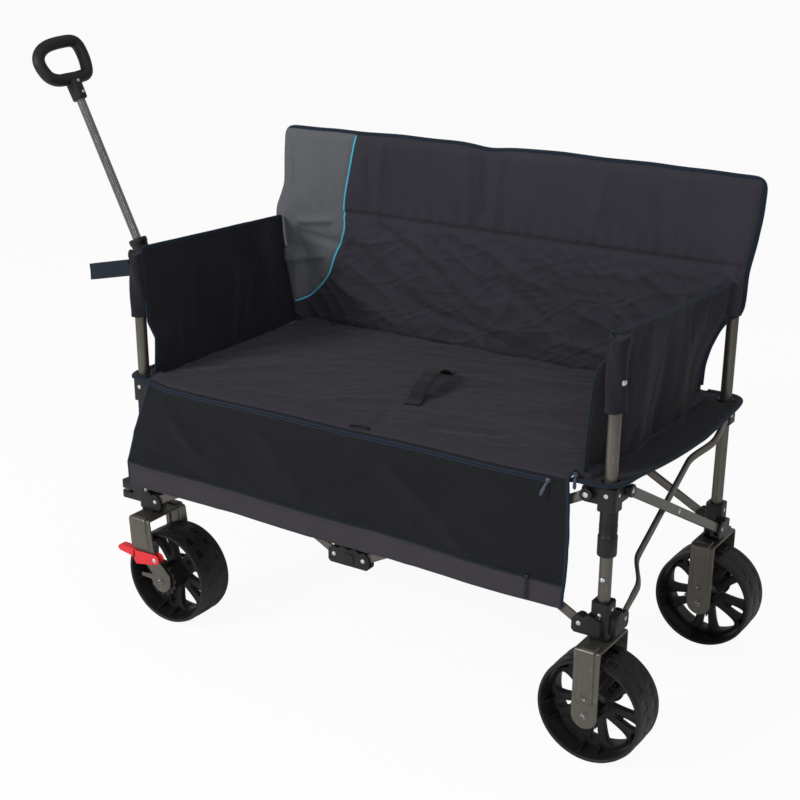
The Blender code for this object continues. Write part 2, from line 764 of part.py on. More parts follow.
def brake_lever_mesh():
    """Straddles the outer fork arm. Drawn about its own pivot for the left side, with its pedal at -X."""
    outer = FORK_HALF + PANEL_RAISE + GAP
    inner = FORK_HALF - FORK_PLATE - GAP
    cheek = rounded([(-0.052, 0.010, 0.002), (-0.052, -0.006, 0.003), (0.009, -0.010, 0.009), (0.009, 0.009, 0.009)])
    outside = prism(cheek, -outer - LEVER_CHEEK, -outer, "Y")
    inside = prism(cheek, -inner, -inner + LEVER_CHEEK, "Y")
    pedal = rounded(
        [
            (-LEVER_REACH, 0.008, 0.003),
            (-LEVER_REACH + 0.004, 0.001, 0.003),
            (-0.062, -0.004, 0.0),
            (-0.0495, -0.009, 0.002),
            (-0.0495, 0.010, 0.001),
            (-0.066, 0.013, 0.004),
            (-LEVER_REACH + 0.008, 0.014, 0.004),
        ]
    )
    foot = prism(pedal, -outer - LEVER_CHEEK, -inner + LEVER_CHEEK, "Y")
    pawl = prism([(-0.016, -0.002), (-0.0105, -0.0105), (-0.0085, -0.0105), (-0.002, -0.002)], -inner, -0.044, "Y")
    return carve(foot, add=[outside, inside, pawl])


# Pull handle. The tubes are drawn along Z from the tilt hinge.


def link_mesh():
    """A flat link along X from its ear pivot."""
    half = LINK_THICK / 2
    return prism(stadium((0, 0), (LINK_LENGTH, 0), LINK_END_R), -half, half)


def handle_bracket_mesh():
    """Holds both links on upright pins and the handle's foot on a cross pin. Drawn about the link pins' middle."""
    tower_in, tower_out = OUTER_TUBE_R + 0.0015, LINK_HALF_SPACING + LINK_END_R + 0.003
    base_low, base_top = LINK_Z - 0.017, LINK_Z - 0.008
    tower_top = HANDLE_Z + 0.014
    base = [(-0.020, -tower_out, 0.006), (0.018, -tower_out, 0.006), (0.018, tower_out, 0.006)]
    solid = prism(rounded([*base, (-0.020, tower_out, 0.006)]), base_low, base_top + 0.001)
    add, cut = [], []
    half = LINK_THICK / 2 + RUNNING_GAP
    for s in (-1, 1):
        side_view = rounded(
            [(-0.020, base_top, 0), (0.018, base_top, 0), (0.012, tower_top, 0.010), (-0.014, tower_top, 0.010)]
        )
        add.append(prism(side_view, s * tower_in, s * tower_out, "Y"))
        for back, near in ((-0.0135, LINK_HALF_SPACING - LINK_END_R - 0.001), (-0.05, LINK_HALF_SPACING + 0.004)):
            low, high = sorted((s * near, s * 2 * tower_out))
            cut.append(box((back, low, LINK_Z - half), (0.05, high, LINK_Z + half)))
    pin = prism(circle(0.004, 12, (0, HANDLE_Z)), -tower_out + 0.004, tower_out - 0.004, "Y")
    return carve(solid, add=[*add, pin], cut=cut)


def outer_tube_mesh():
    r = OUTER_TUBE_R
    pipe = tube(circle(r), circle(r - OUTER_TUBE_WALL), 0.030, OUTER_TUBE_TOP)
    foot = rounded([(-r, FOOT_PLUG_TOP, 0), (-r, -0.011, 0.011), (r, -0.011, 0.011), (r, FOOT_PLUG_TOP, 0)], 4)
    plug = carve(
        prism(circle(r - 0.0006), -0.02, FOOT_PLUG_TOP),
        keep=[prism(foot, -0.02, 0.02, "Y")],
    )
    hole = prism(circle(0.004 + RUNNING_GAP, 12), -0.03, 0.03, "Y")
    return carve(pipe, add=[plug], cut=[hole])


def collar_mesh():
    tube_bore, slide_bore = around(OUTER_TUBE_R, 12), around(INNER_TUBE_R, 12)
    profile = [
        (tube_bore, COLLAR_LOW),
        (COLLAR_R - 0.003, COLLAR_LOW),
        (COLLAR_R - 0.0015, COLLAR_LOW + 0.008),
        (COLLAR_R - 0.0015, COLLAR_TOP - 0.012),
        (COLLAR_R, COLLAR_TOP - 0.010),
        (COLLAR_R, COLLAR_TOP - 0.001),
        (COLLAR_R - 0.002, COLLAR_TOP),
        (slide_bore, COLLAR_TOP),
        (slide_bore, OUTER_TUBE_TOP + GAP),
        (tube_bore, OUTER_TUBE_TOP + GAP),
    ]
    return turned(profile, 12)


def inner_tube_mesh():
    sides = 3 * FLUTES
    outer = []
    for k in range(sides):
        angle = 2 * math.pi * k / sides
        radius = INNER_TUBE_R - (0.0008 if k % 3 == 0 else 0.0)
        outer.append((radius * math.cos(angle), radius * math.sin(angle)))
    inner = circle(INNER_TUBE_R - INNER_TUBE_WALL - 0.0008, sides)
    return tube(outer, inner, INNER_TUBE_LOW, STEM_LOW + 0.030)


def grip_mesh():
    """A closed loop grip on a stem, turned a little about the tube."""
    w, h, r = GRIP_HALF_WIDTH, GRIP_HALF_HEIGHT, GRIP_CORNER_R
    path = rounded([(-w, -h, r), (w, -h, r), (w, h, r), (-w, h, r)], 4)
    n, sides = len(path), 8
    points, faces = [], []
    for i, (y, z) in enumerate(path):
        before, after = Vector(path[i - 1]), Vector(path[(i + 1) % n])
        heading = (after - before).normalized()
        outward = Vector((heading.y, -heading.x))
        for k in range(sides):
            angle = 2 * math.pi * (k + 0.5) / sides
            out = GRIP_SECTION * math.cos(angle)
            thick = 1.05 * GRIP_SECTION * math.sin(angle)
            points.append((thick, y + outward.x * out, GRIP_Z + z + outward.y * out))
    for i in range(n):
        j = (i + 1) % n
        for k in range(sides):
            m = (k + 1) % sides
            faces.append((i * sides + k, i * sides + m, j * sides + m, j * sides + k))
    loop = mesh_from(points, faces)
    top = GRIP_Z - h
    stem_view = [(-0.0125, STEM_LOW), (0.0125, STEM_LOW), (0.017, top), (-0.017, top)]
    stem = carve(prism(circle(0.0165), STEM_LOW, top), keep=[prism(stem_view, -0.03, 0.03, "X")])
    socket = prism(circle(around(INNER_TUBE_R), 24), STEM_LOW - 0.01, STEM_LOW + 0.030 + GAP)
    return moved(carve(loop, add=[stem], cut=[socket]), Matrix.Rotation(GRIP_TURN, 4, "Z"))


# Fabric, as closed sheets and pads


def crown(u, v, power=0.5):
    """0 on the rim of a pad and 1 in its middle."""
    return (max(0.0, 16 * u * (1 - u) * v * (1 - v))) ** power


def seat_top(x, y):
    u = (x + SEAT_HALF_X) / (2 * SEAT_HALF_X)
    v = (y + SEAT_FRONT) / (SEAT_FRONT + SEAT_BACK)
    ripple = 0.0012 * math.sin(21 * u + 3 * v) * crown(u, v)
    return LEDGE_Z + CLOTH + GAP + SEAT_EDGE + SEAT_CROWN * crown(u, v, 0.35) + ripple


def seat_mesh():
    def spot(u, v):
        x = (2 * u - 1) * SEAT_HALF_X
        y = -SEAT_FRONT + v * (SEAT_FRONT + SEAT_BACK)
        return x, y

    def top(u, v):
        x, y = spot(u, v)
        return x, y, seat_top(x, y)

    def under(u, v):
        x, y = spot(u, v)
        return x, y, LEDGE_Z + CLOTH + GAP

    return sheet(top, under, 20, 10)


def back_half_width(z):
    """The backrest widens where its edge channels go round the posts."""
    narrow, wide = SEAT_HALF_X - 0.010, TRACK_X / 2 + 0.024
    if z < CHANNEL_Z:
        return narrow
    return wide - 0.004 * (z - CHANNEL_Z) / (BACK_TOP - CHANNEL_Z)


def backrest_mesh():
    below, above = 5, 8
    heights = [BACK_BOTTOM + (CHANNEL_Z - BACK_BOTTOM) * k / below for k in range(below)]
    heights += [CHANNEL_Z - 0.0005, CHANNEL_Z + 0.0005]
    heights += [CHANNEL_Z + (BACK_TOP - CHANNEL_Z) * k / above for k in range(1, above + 1)]
    rows = len(heights) - 1

    def half_thickness(u, z):
        middle = math.sin(math.pi * min(max((u - 0.08) / 0.84, 0.0), 1.0)) ** 0.5
        seam = 1.0 - 0.85 * math.exp(-(((z - BACK_SEAM) / 0.012) ** 2))
        return BACK_EDGE + BACK_CROWN * middle * seam

    def face(sign):
        def surface(u, v):
            z = heights[round(v * rows)]
            x = (2 * u - 1) * back_half_width(z)
            return x, TRACK_Y / 2 + sign * half_thickness(u, z), z

        return surface

    pad = sheet(face(-1), face(1), 14, rows)
    low = CHANNEL_Z - 0.02
    bores = [
        prism(circle(around(POST_R), ROUND, (s * TRACK_X / 2, TRACK_Y / 2)), low, BACK_POST_TOP + 0.002)
        for s in (-1, 1)
    ]
    return carve(pad, cut=bores)


def ledge_mesh():
    """The flat rim of the tub outside an end wall, with an eyelet for each post. Drawn for the rear."""
    outline = rounded(
        [
            (LEDGE_INNER, -LEDGE_SIDE, 0.006),
            (TRACK_X / 2 + 0.012, -LEDGE_SIDE, 0.026),
            (LEDGE_OUTER - 0.012, -LEDGE_SIDE + 0.050, 0.05),
            (LEDGE_OUTER, 0.0, 0.20),
            (LEDGE_OUTER - 0.004, LEDGE_SIDE - 0.050, 0.05),
            (TRACK_X / 2 + 0.012, LEDGE_SIDE + 0.008, 0.026),
            (LEDGE_INNER, LEDGE_SIDE + 0.008, 0.006),
        ],
        steps=2,
    )
    eyelets = [
        prism(circle(around(POST_R), ROUND, (TRACK_X / 2, s * TRACK_Y / 2)), LEDGE_Z - 0.01, LEDGE_Z + 0.02)
        for s in (-1, 1)
    ]
    return carve(prism(outline, LEDGE_Z, LEDGE_Z + CLOTH), cut=eyelets)


def end_wall_mesh():
    """The end wall and the sleeve that hangs it on the open side's post. Drawn for the rear."""
    far = TRACK_Y / 2 - BACK_EDGE - GAP
    bottom = LEDGE_Z + CLOTH + GAP

    def spot(u, v, sign):
        near = -WALL_NEAR + 0.012 * max(0.0, 1 - v / 0.5)
        foot = WALL_FOOT + WALL_FOOT_SPREAD * v
        reach = foot + (far - foot) * max(0.0, (v - 0.25) / 0.75) ** WALL_HOLLOW
        y = near + u * (reach - near)
        z = bottom + v * (WALL_TOP - WALL_DIP * math.sin(math.pi * u) - bottom)
        lean = WALL_LEAN * (1 - v) * min(1.0, u / 0.15) + WALL_BULGE * math.sin(math.pi * u) * v
        return TRACK_X / 2 - SLEEVE_R + CLOTH / 2 - lean + sign * CLOTH / 2, y, z

    wall = sheet(lambda u, v: spot(u, v, 1), lambda u, v: spot(u, v, -1), 10, 6)
    at = (TRACK_X / 2, -TRACK_Y / 2)
    sleeve = prism(circle(SLEEVE_R, ROUND, at), SLEEVE_LOW, WALL_TOP + 0.003)
    bore = prism(circle(around(POST_R), ROUND, at), bottom - 0.01, OPEN_POST_TOP + GAP)
    return carve(wall, add=[sleeve], cut=[bore])


def side_panel_mesh():
    """The open side's wall, let down so that it rolls over the seat's front edge and hangs."""
    edge = SEAT_FRONT + GAP
    out = TRACK_Y / 2 + PANEL_OUT
    roll, hang = 3, 6

    def spot(u, v, sign):
        row = v * (roll + hang)
        angle = min(row / roll, 1.0) * math.pi / 2
        down = max(0.0, (row - roll) / hang)
        y = -edge - (out - edge) * math.sin(angle)
        z = PANEL_TOP - PANEL_ROLL * (1 - math.cos(angle)) - down * (PANEL_TOP - PANEL_ROLL - PANEL_BOTTOM)
        fold = PANEL_FOLD * (math.sin(5 * math.pi * u + 0.8) - 1) * down
        left = -PANEL_FRONT_TOP - PANEL_FLARE * min(1.0, 1.3 * down)
        x = left + u * (PANEL_REAR - left)
        return x, y + fold - sign * math.sin(angle) * CLOTH / 2, z + sign * math.cos(angle) * CLOTH / 2

    return sheet(lambda u, v: spot(u, v, 1), lambda u, v: spot(u, v, -1), 14, roll + hang)


def seat_strap_mesh():
    """The arched webbing by which the floor is pulled up to fold the wagon."""

    def spot(u, v, lift):
        y = STRAP_NEAR + v * (STRAP_FAR - STRAP_NEAR)
        base = max(seat_top(STRAP_X + side * STRAP_WIDTH / 2, y) for side in (-1, 0, 1)) + GAP
        arch = STRAP_RISE * max(0.0, math.sin(math.pi * min(max((v - 0.1) / 0.8, 0.0), 1.0))) ** 0.8
        return STRAP_X + (u - 0.5) * STRAP_WIDTH, y, base + arch + lift

    return sheet(lambda u, v: spot(u, v, STRAP_THICK), lambda u, v: spot(u, v, 0.0), 2, 18)


def strap_loop_mesh():
    """A loop of webbing sewn to the front sleeve, which holds the folded wagon shut."""
    start = -TRACK_X / 2 - max(SLEEVE_R, BLOCK_HALF) - GAP
    top = WALL_TOP - 0.012
    outline = rounded(
        [
            (start, top - LOOP_WIDTH, 0),
            (start, top, 0),
            (start - LOOP_LENGTH, top - 0.012, 0.004),
            (start - LOOP_LENGTH, top - 0.012 - LOOP_WIDTH, 0.004),
        ]
    )
    return prism(outline, -TRACK_Y / 2 - CLOTH, -TRACK_Y / 2 + CLOTH, "Y")


# Assembly


def build_corner(end, side, finish, wagon):
    ex, ey = ENDS[end], SIDES[side]
    corner = f"{end}_{side}"
    hub = guide(f"corner_{corner}", (ex * TRACK_X / 2, ey * TRACK_Y / 2, 0), wagon)
    mirror = Matrix.Diagonal((ex, ey, 1, 1))
    open_side = side == "left"
    top = OPEN_POST_TOP if open_side else BACK_POST_TOP
    place(f"post_{corner}", post_mesh(top, open_side), finish["steel"], parent=hub)
    lower = moved(lower_block_mesh(end == "front"), mirror)
    place(f"lower_joint_{corner}", lower, finish["nylon"], parent=hub)
    upper = moved(upper_block_mesh(), mirror)
    place(f"sliding_joint_{corner}", upper, finish["nylon"], parent=hub)
    if open_side:
        place(f"post_coupler_{corner}", coupler_mesh(), finish["nylon"], parent=hub)
        button = moved(button_mesh(), Matrix.Translation((0, 0, BUTTON_Z)))
        place(f"push_button_{corner}", button, finish["zinc"], parent=hub)
    trail = TRAIL if end == "front" else 0.0
    place(f"fork_{corner}", fork_mesh(trail), finish["steel"], parent=hub)
    wheel = wheel_mesh(end == "front")
    if side == "right":
        wheel = moved(wheel, Matrix.Rotation(math.pi, 4, "Z"))
    place(f"wheel_{corner}", wheel, finish["rubber"], (trail, 0, AXLE_Z), hub)
    if end == "front":
        lever = moved(brake_lever_mesh(), Matrix.Diagonal((1, -ey, 1, 1)))
        pivot = (TRAIL - LEVER_PIVOT_AHEAD, 0, AXLE_Z + LEVER_PIVOT_ABOVE)
        place(f"brake_lever_{corner}", lever, finish["red"], pivot, hub)


def build_scissors(finish, wagon):
    straight, bent = straight_bar_mesh(), bent_bar_mesh()
    rise = (OPEN_RISE,)
    for side, ey in SIDES.items():
        y = ey * (TRACK_Y / 2 + BAR_PLANE)
        for end, ex in ENDS.items():
            corner_x = ex * (TRACK_X / 2 - PIVOT_REACH)
            centre_x = ex * CENTRE_REACH
            low = bar_matrix((corner_x, y, LOW_PIVOT_Z), (centre_x - corner_x, 0, *rise), (0, ey, 0))
            high = bar_matrix((centre_x, y, LOW_PIVOT_Z), (corner_x - centre_x, 0, *rise), (0, ey, 0))
            place(f"side_bar_straight_{end}_{side}", straight.copy(), finish["steel"], parent=wagon, matrix=low)
            place(f"side_bar_bent_{end}_{side}", bent.copy(), finish["steel"], parent=wagon, matrix=high)
        place_y = (0, ey * TRACK_Y / 2, 0)
        mirror = Matrix.Diagonal((1, ey, 1, 1))
        place(f"centre_lower_{side}", moved(centre_lower_mesh(), mirror), finish["nylon"], place_y, wagon)
        place(f"centre_upper_{side}", moved(centre_upper_mesh(), mirror), finish["nylon"], place_y, wagon)
    for end, ex in ENDS.items():
        x = ex * (TRACK_X / 2 + BAR_PLANE)
        y = TRACK_Y / 2 - PIVOT_REACH
        left = bar_matrix((x, -y, LOW_PIVOT_Z), (0, 2 * y, *rise), (ex, 0, 0))
        right = bar_matrix((x, y, LOW_PIVOT_Z), (0, -2 * y, *rise), (ex, 0, 0))
        place(f"end_bar_bent_{end}", bent.copy(), finish["steel"], parent=wagon, matrix=left)
        place(f"end_bar_straight_{end}", straight.copy(), finish["steel"], parent=wagon, matrix=right)


def build_handle(finish, wagon):
    place("handle_bracket", handle_bracket_mesh(), finish["nylon"], (BRACKET_X, 0, 0), wagon)
    for side, ey in SIDES.items():
        ear = guide(f"link_pivot_{side}", (EAR_X, ey * TRACK_Y / 2, LINK_Z), wagon)
        ear.rotation_euler[2] = math.atan2(-ey * LINK_ACROSS, LINK_BACK)
        place(f"handle_link_{side}", link_mesh(), finish["steel"], parent=ear)
    hinge = guide("handle_hinge", (BRACKET_X, 0, HANDLE_Z), wagon, (0, -HANDLE_LEAN, 0))
    place("handle_outer_tube", outer_tube_mesh(), finish["steel"], parent=hinge)
    place("handle_collar", collar_mesh(), finish["nylon"], parent=hinge)
    place("handle_inner_tube", inner_tube_mesh(), finish["steel"], parent=hinge)
    place("handle_grip", grip_mesh(), finish["nylon"], parent=hinge)


def build_fabric(finish, wagon):
    place("seat_pad", seat_mesh(), finish["cloth"], parent=wagon)
    place("backrest", backrest_mesh(), finish["cloth"], parent=wagon)
    for end, ex in ENDS.items():
        mirror = Matrix.Diagonal((ex, 1, 1, 1))
        place(f"end_wall_{end}", moved(end_wall_mesh(), mirror), finish["lining"], parent=wagon)
        place(f"end_ledge_{end}", moved(ledge_mesh(), mirror), finish["lining"], parent=wagon)
    place("side_panel", side_panel_mesh(), finish["lining"], parent=wagon)
    place("seat_strap", seat_strap_mesh(), finish["webbing"], parent=wagon)
    place("strap_loop", strap_loop_mesh(), finish["webbing"], parent=wagon)


def footprint():
    """Lowest and highest corners of all solids, in world space."""
    bpy.context.view_layer.update()
    graph = bpy.context.evaluated_depsgraph_get()
    corners = []
    for obj in bpy.context.scene.objects:
        if obj.type == "MESH":
            shape = obj.evaluated_get(graph)
            corners += [shape.matrix_world @ v.co for v in shape.data.vertices]
    low = [min(c[i] for c in corners) for i in range(3)]
    high = [max(c[i] for c in corners) for i in range(3)]
    return low, high


def main():
    clear_scene()
    finish = {
        "steel": material("painted_steel", (0.115, 0.107, 0.095), 0.42, 0.55),
        "nylon": material("black_nylon", (0.012, 0.012, 0.014), 0.50),
        "rubber": material("black_tread", (0.010, 0.010, 0.011), 0.62),
        "zinc": material("bright_zinc", (0.75, 0.76, 0.78), 0.25, 1.0),
        "red": material("red_plastic", (0.80, 0.035, 0.045), 0.40),
        "cloth": material("padded_cloth", (0.034, 0.032, 0.041), 0.85),
        "lining": material("lining_cloth", (0.012, 0.012, 0.016), 0.85),
        "webbing": material("navy_webbing", (0.013, 0.024, 0.045), 0.80),
    }
    wagon = guide("wagon", (0, 0, 0))
    for end in ENDS:
        for side in SIDES:
            build_corner(end, side, finish, wagon)
    build_scissors(finish, wagon)
    build_handle(finish, wagon)
    build_fabric(finish, wagon)
    low, high = footprint()
    wagon.location = (-(low[0] + high[0]) / 2, -(low[1] + high[1]) / 2, -low[2])
    bpy.context.view_layer.update()
    print(f"Fold: corners move {FOLD_X:.4f} along and {FOLD_Y:.4f} across, and bars turn "
          f"{math.degrees(BAR_ANGLE_FOLDED - BAR_ANGLE):.2f} degrees")


main()
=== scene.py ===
"""A folding wagon bench dressed for the camera: finishes, fabric, fasteners, wheels, lights and camera."""

import json
import math

import bmesh
import bpy
import numpy as np
from mathutils import Matrix, Vector

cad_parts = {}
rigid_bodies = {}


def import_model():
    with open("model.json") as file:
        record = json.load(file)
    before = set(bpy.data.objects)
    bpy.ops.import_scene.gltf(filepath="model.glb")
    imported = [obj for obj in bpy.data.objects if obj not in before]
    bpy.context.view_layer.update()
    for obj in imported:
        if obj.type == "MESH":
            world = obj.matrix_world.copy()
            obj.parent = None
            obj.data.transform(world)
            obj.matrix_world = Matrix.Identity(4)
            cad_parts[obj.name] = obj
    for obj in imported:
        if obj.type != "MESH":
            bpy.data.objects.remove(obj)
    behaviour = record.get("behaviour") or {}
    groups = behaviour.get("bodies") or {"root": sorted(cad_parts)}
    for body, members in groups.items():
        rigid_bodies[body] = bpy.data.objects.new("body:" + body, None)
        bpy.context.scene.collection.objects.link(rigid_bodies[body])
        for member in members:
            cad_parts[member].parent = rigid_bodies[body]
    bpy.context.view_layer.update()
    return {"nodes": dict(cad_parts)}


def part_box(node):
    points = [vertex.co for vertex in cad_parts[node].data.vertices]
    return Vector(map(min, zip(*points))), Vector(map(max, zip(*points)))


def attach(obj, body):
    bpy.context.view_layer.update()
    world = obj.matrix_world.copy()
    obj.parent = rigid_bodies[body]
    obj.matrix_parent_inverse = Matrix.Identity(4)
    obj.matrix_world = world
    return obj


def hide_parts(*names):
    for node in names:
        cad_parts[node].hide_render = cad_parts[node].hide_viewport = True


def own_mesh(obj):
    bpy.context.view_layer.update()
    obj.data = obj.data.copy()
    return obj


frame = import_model()

# The frame as the CAD gives it. Shapes below are drawn about the middle of the four posts, on the floor.


def middle_of(node):
    low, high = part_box(node)
    return (low + high) / 2


MIDDLE_X = (middle_of("post_front_left").x + middle_of("post_rear_left").x) / 2
POST_X = (middle_of("post_rear_left").x - middle_of("post_front_left").x) / 2
POST_Y = middle_of("post_front_right").y
HERE = Matrix.Translation((MIDDLE_X, 0, 0))
POST_R, POST_LOW, POST_TOP = 0.011, 0.246, {"left": 0.744, "right": 0.905}
LEAN = math.radians(25.9)
# the bars' lower pivots: their height, their distance from a post's or middle block's axis, and the bars' plane
PIVOT_Z, PIVOT_IN, BAR_PLANE = 0.252, 0.032, 0.0198
# how far a block's own face and its clevis stand from the axis
BLOCK_FACE, CLEVIS_FACE = 0.0165, 0.0271
ENDS = {"front": -1, "rear": 1}
SIDES = {"left": -1, "right": 1}
CORNERS = [(end, side) for end in ENDS for side in SIDES]
TAU = 2 * math.pi


# Finishes


class Wire:
    """A socket in a finish. Arithmetic on it adds Math nodes."""

    def __init__(self, finish, socket):
        self.finish, self.socket = finish, socket

    def math(self, operation, *others):
        node = self.finish.add("Math", {"operation": operation}, dict(enumerate([self, *others])))
        return Wire(self.finish, node.outputs[0])

    def __add__(self, other):
        return self.math("ADD", other)

    def __sub__(self, other):
        return self.math("SUBTRACT", other)

    def __rsub__(self, other):
        return Wire(self.finish, self.finish.add("Math", {"operation": "SUBTRACT"}, {0: other, 1: self}).outputs[0])

    def __mul__(self, other):
        return self.math("MULTIPLY", other)

    __radd__ = __add__

    def sine(self):
        return self.math("SINE")

    def size(self):
        return self.math("ABSOLUTE")

    def above(self, edge, soft):
        """0 below the edge and 1 above it, over a soft step."""
        made = self.finish.add("MapRange", {"interpolation_type": "SMOOTHSTEP"},
                               {"Value": self, "From Min": edge - soft, "From Max": edge + soft})
        return Wire(self.finish, made.outputs[0])


def linear(*rgb):
    """A colour written as 0 to 255, as the shader takes it."""
    return tuple((c / 255 / 12.92 if c / 255 <= 0.04045 else ((c / 255 + 0.055) / 1.055) ** 2.4) for c in rgb)


class Finish:
    """A material. What varies is fed to the shader by expressions on its wires."""

    def __init__(self, name, **same_all_over):
        self.material = bpy.data.materials.new(name)
        self.material.use_nodes = True
        self.tree = self.material.node_tree
        self.shader = self.tree.nodes["Principled BSDF"]
        for socket, value in same_all_over.items():
            self.shader.inputs[socket.replace("_", " ")].default_value = value

    def add(self, kind, settings=None, sockets=None):
        node = self.tree.nodes.new("ShaderNode" + kind)
        for key, value in (settings or {}).items():
            setattr(node, key, value)
        for key, value in (sockets or {}).items():
            self.feed(node.inputs[key], value)
        return node

    def feed(self, socket, value):
        if isinstance(value, Wire):
            self.tree.links.new(value.socket, socket)
        elif isinstance(value, tuple) and socket.type == "RGBA":
            socket.default_value = (*value[:3], 1.0)
        else:
            socket.default_value = value

    def wire(self, kind, settings=None, sockets=None, out=0):
        return Wire(self, self.add(kind, settings, sockets).outputs[out])

    def place(self, from_uv=False):
        return self.wire("TexCoord", out="UV" if from_uv else "Object")

    def spread(self, place, scale, turn=(0, 0, 0)):
        return self.wire("Mapping", None, {"Vector": place, "Scale": scale, "Rotation": turn})

    def axes(self, place):
        node = self.add("SeparateXYZ", None, {0: place})
        return [Wire(self, out) for out in node.outputs]

    def cloud(self, place, scale, detail=3.0, rough=0.55):
        return self.wire("TexNoise", None, {"Vector": place, "Scale": scale, "Detail": detail, "Roughness": rough})

    def mix(self, share, a, b):
        """Between two colours by a share from 0 to 1."""
        return self.wire("Mix", {"data_type": "RGBA"}, {0: share, 6: a, 7: b}, out=2)

    def attribute(self, name):
        return self.wire("Attribute", {"attribute_name": name}, None, out="Fac")

    def bump(self, *layers):
        """Each layer is (height wire, distance in metres, strength). The last wire goes to the normal."""
        normal = None
        for height, distance, strength in layers:
            sockets = {"Height": height, "Distance": distance, "Strength": strength}
            if normal:
                sockets["Normal"] = normal
            normal = self.wire("Bump", None, sockets)
        self.set(Normal=normal)

    def set(self, **sockets):
        for socket, value in sockets.items():
            self.feed(self.shader.inputs[socket.replace("_", " ")], value)
        return self


def painted_steel():
    f = Finish("powder_painted_steel", Metallic=0.7, Specular_IOR_Level=0.5)
    place = f.place()
    peel = f.cloud(place, 900, 2)
    patches = f.cloud(place, 9, 4)
    scuffs = f.cloud(f.spread(place, (60, 60, 9)), 3.0, 6, 0.7).above(0.63, 0.05)
    tone = f.mix(patches, linear(83, 79, 74), linear(110, 106, 99))
    f.set(Base_Color=f.mix(scuffs * 0.35, tone, linear(150, 146, 138)))
    f.set(Roughness=0.26 + patches * 0.1 + scuffs * 0.1)
    f.bump((peel, 0.0003, 0.3), (patches, 0.0008, 0.15))
    return f


def moulded(name, dark, light, rough, grain=700, strength=0.3, **same):
    """Moulded plastic: a fine spark texture, faint flow marks and dusty hollows."""
    f = Finish(name, **{"Specular_IOR_Level": 0.35, **same})
    place = f.place()
    spark = f.cloud(place, grain, 3, 0.6)
    flow = f.cloud(f.spread(place, (6, 6, 22)), 1.0, 5)
    dust = f.cloud(place, 34, 5, 0.65).above(0.58, 0.12)
    tone = f.mix(flow, linear(*dark), linear(*light))
    dusty = tuple(min(255, c + 14) for c in light)
    f.set(Base_Color=f.mix(dust * 0.3, tone, linear(*dusty)))
    f.set(Roughness=rough + flow * 0.12 + dust * 0.12)
    f.bump((spark, 0.0003, strength), (flow, 0.001, 0.12))
    return f


def bright_zinc():
    f = Finish("bright_zinc", Metallic=1.0)
    place = f.place()
    spangle = f.cloud(place, 260, 4)
    f.set(Base_Color=f.mix(spangle, linear(176, 178, 182), linear(236, 238, 242)))
    f.set(Roughness=0.2 + spangle * 0.2)
    f.bump((spangle, 0.0002, 0.3))
    return f


def drawn_metal():
    """Bare drawn tube: faint lines along its length."""
    f = Finish("drawn_metal", Metallic=0.95)
    place = f.place()
    lines = f.cloud(f.spread(place, (260, 260, 8), (0, -LEAN, 0)), 1.0, 2)
    worn = f.cloud(place, 30, 5).above(0.6, 0.1)
    f.set(Base_Color=f.mix(lines, linear(118, 117, 116), linear(146, 145, 144)))
    f.set(Roughness=0.2 + lines * 0.06 + worn * 0.08)
    f.bump((lines, 0.0001, 0.2))
    return f


def woven(name, dark, light, thread=0.0011, attribute=None, other=None):
    """Plain woven polyester: crossed threads on the piece's own UV map in metres, with slubs and soft wear."""
    f = Finish(name, Sheen_Weight=0.05, Sheen_Roughness=0.45, Specular_IOR_Level=0.16)
    place = f.place(from_uv=True)
    along, across, _ = f.axes(place)
    turns = TAU / thread
    warp, weft = (along * turns).sine(), (across * turns).sine()
    threads = warp * weft * 0.5 + 0.5
    slubs = f.cloud(f.spread(place, (900, 60, 1)), 1.0, 3) * 0.5
    slubs = slubs + f.cloud(f.spread(place, (60, 900, 1)), 1.0, 3) * 0.5
    solid = f.place()
    wear = f.cloud(solid, 7, 5, 0.6)
    creases = f.cloud(solid, 30, 5, 0.58)
    # sharp little creases run where a slanted cloud crosses its middle value
    slanted = f.cloud(f.spread(solid, (14, 14, 6), (0.5, 0.7, 0.2)), 1.0, 3, 0.5)
    pinched = 1 - (slanted - 0.5).size().above(0.02, 0.02)
    ground = f.mix(wear * 0.7 + slubs * 0.3, linear(*dark), linear(*light))
    if attribute:
        beyond = f.attribute(attribute).above(0.0, 0.0006)
        ground = f.mix(beyond, ground, f.mix(wear * 0.6 + slubs * 0.4, linear(*other[0]), linear(*other[1])))
    shade = f.mix(threads * 0.22, ground, linear(*(int(c * 0.55) for c in dark)))
    f.set(Base_Color=shade, Roughness=0.82 + wear * 0.12)
    f.bump((threads + slubs * 0.8, 0.0004, 0.4), (creases, 0.0016, 0.28), (pinched, 0.0014, 0.3))
    return f


def netting():
    """Fine knitted mesh: round holes on a staggered grid, filled with painted shade."""
    f = Finish("knitted_mesh", Sheen_Weight=0.03, Specular_IOR_Level=0.12)
    place = f.place(from_uv=True)
    along, across, _ = f.axes(place)
    pitch = TAU / 0.0026
    holes = ((along * pitch).sine() * (across * pitch).sine()).size().above(0.55, 0.2)
    wear = f.cloud(f.place(), 8, 5)
    # painted shade: the holes are mixed towards near black, as the dark seen through them
    f.set(Base_Color=f.mix(holes * 0.85, f.mix(wear, linear(24, 25, 28), linear(36, 37, 41)), linear(12, 13, 14)))
    f.set(Roughness=0.75 + wear * 0.15)
    f.bump((1 - holes, 0.0006, 0.5), (f.cloud(f.place(), 40, 5), 0.001, 0.2))
    return f


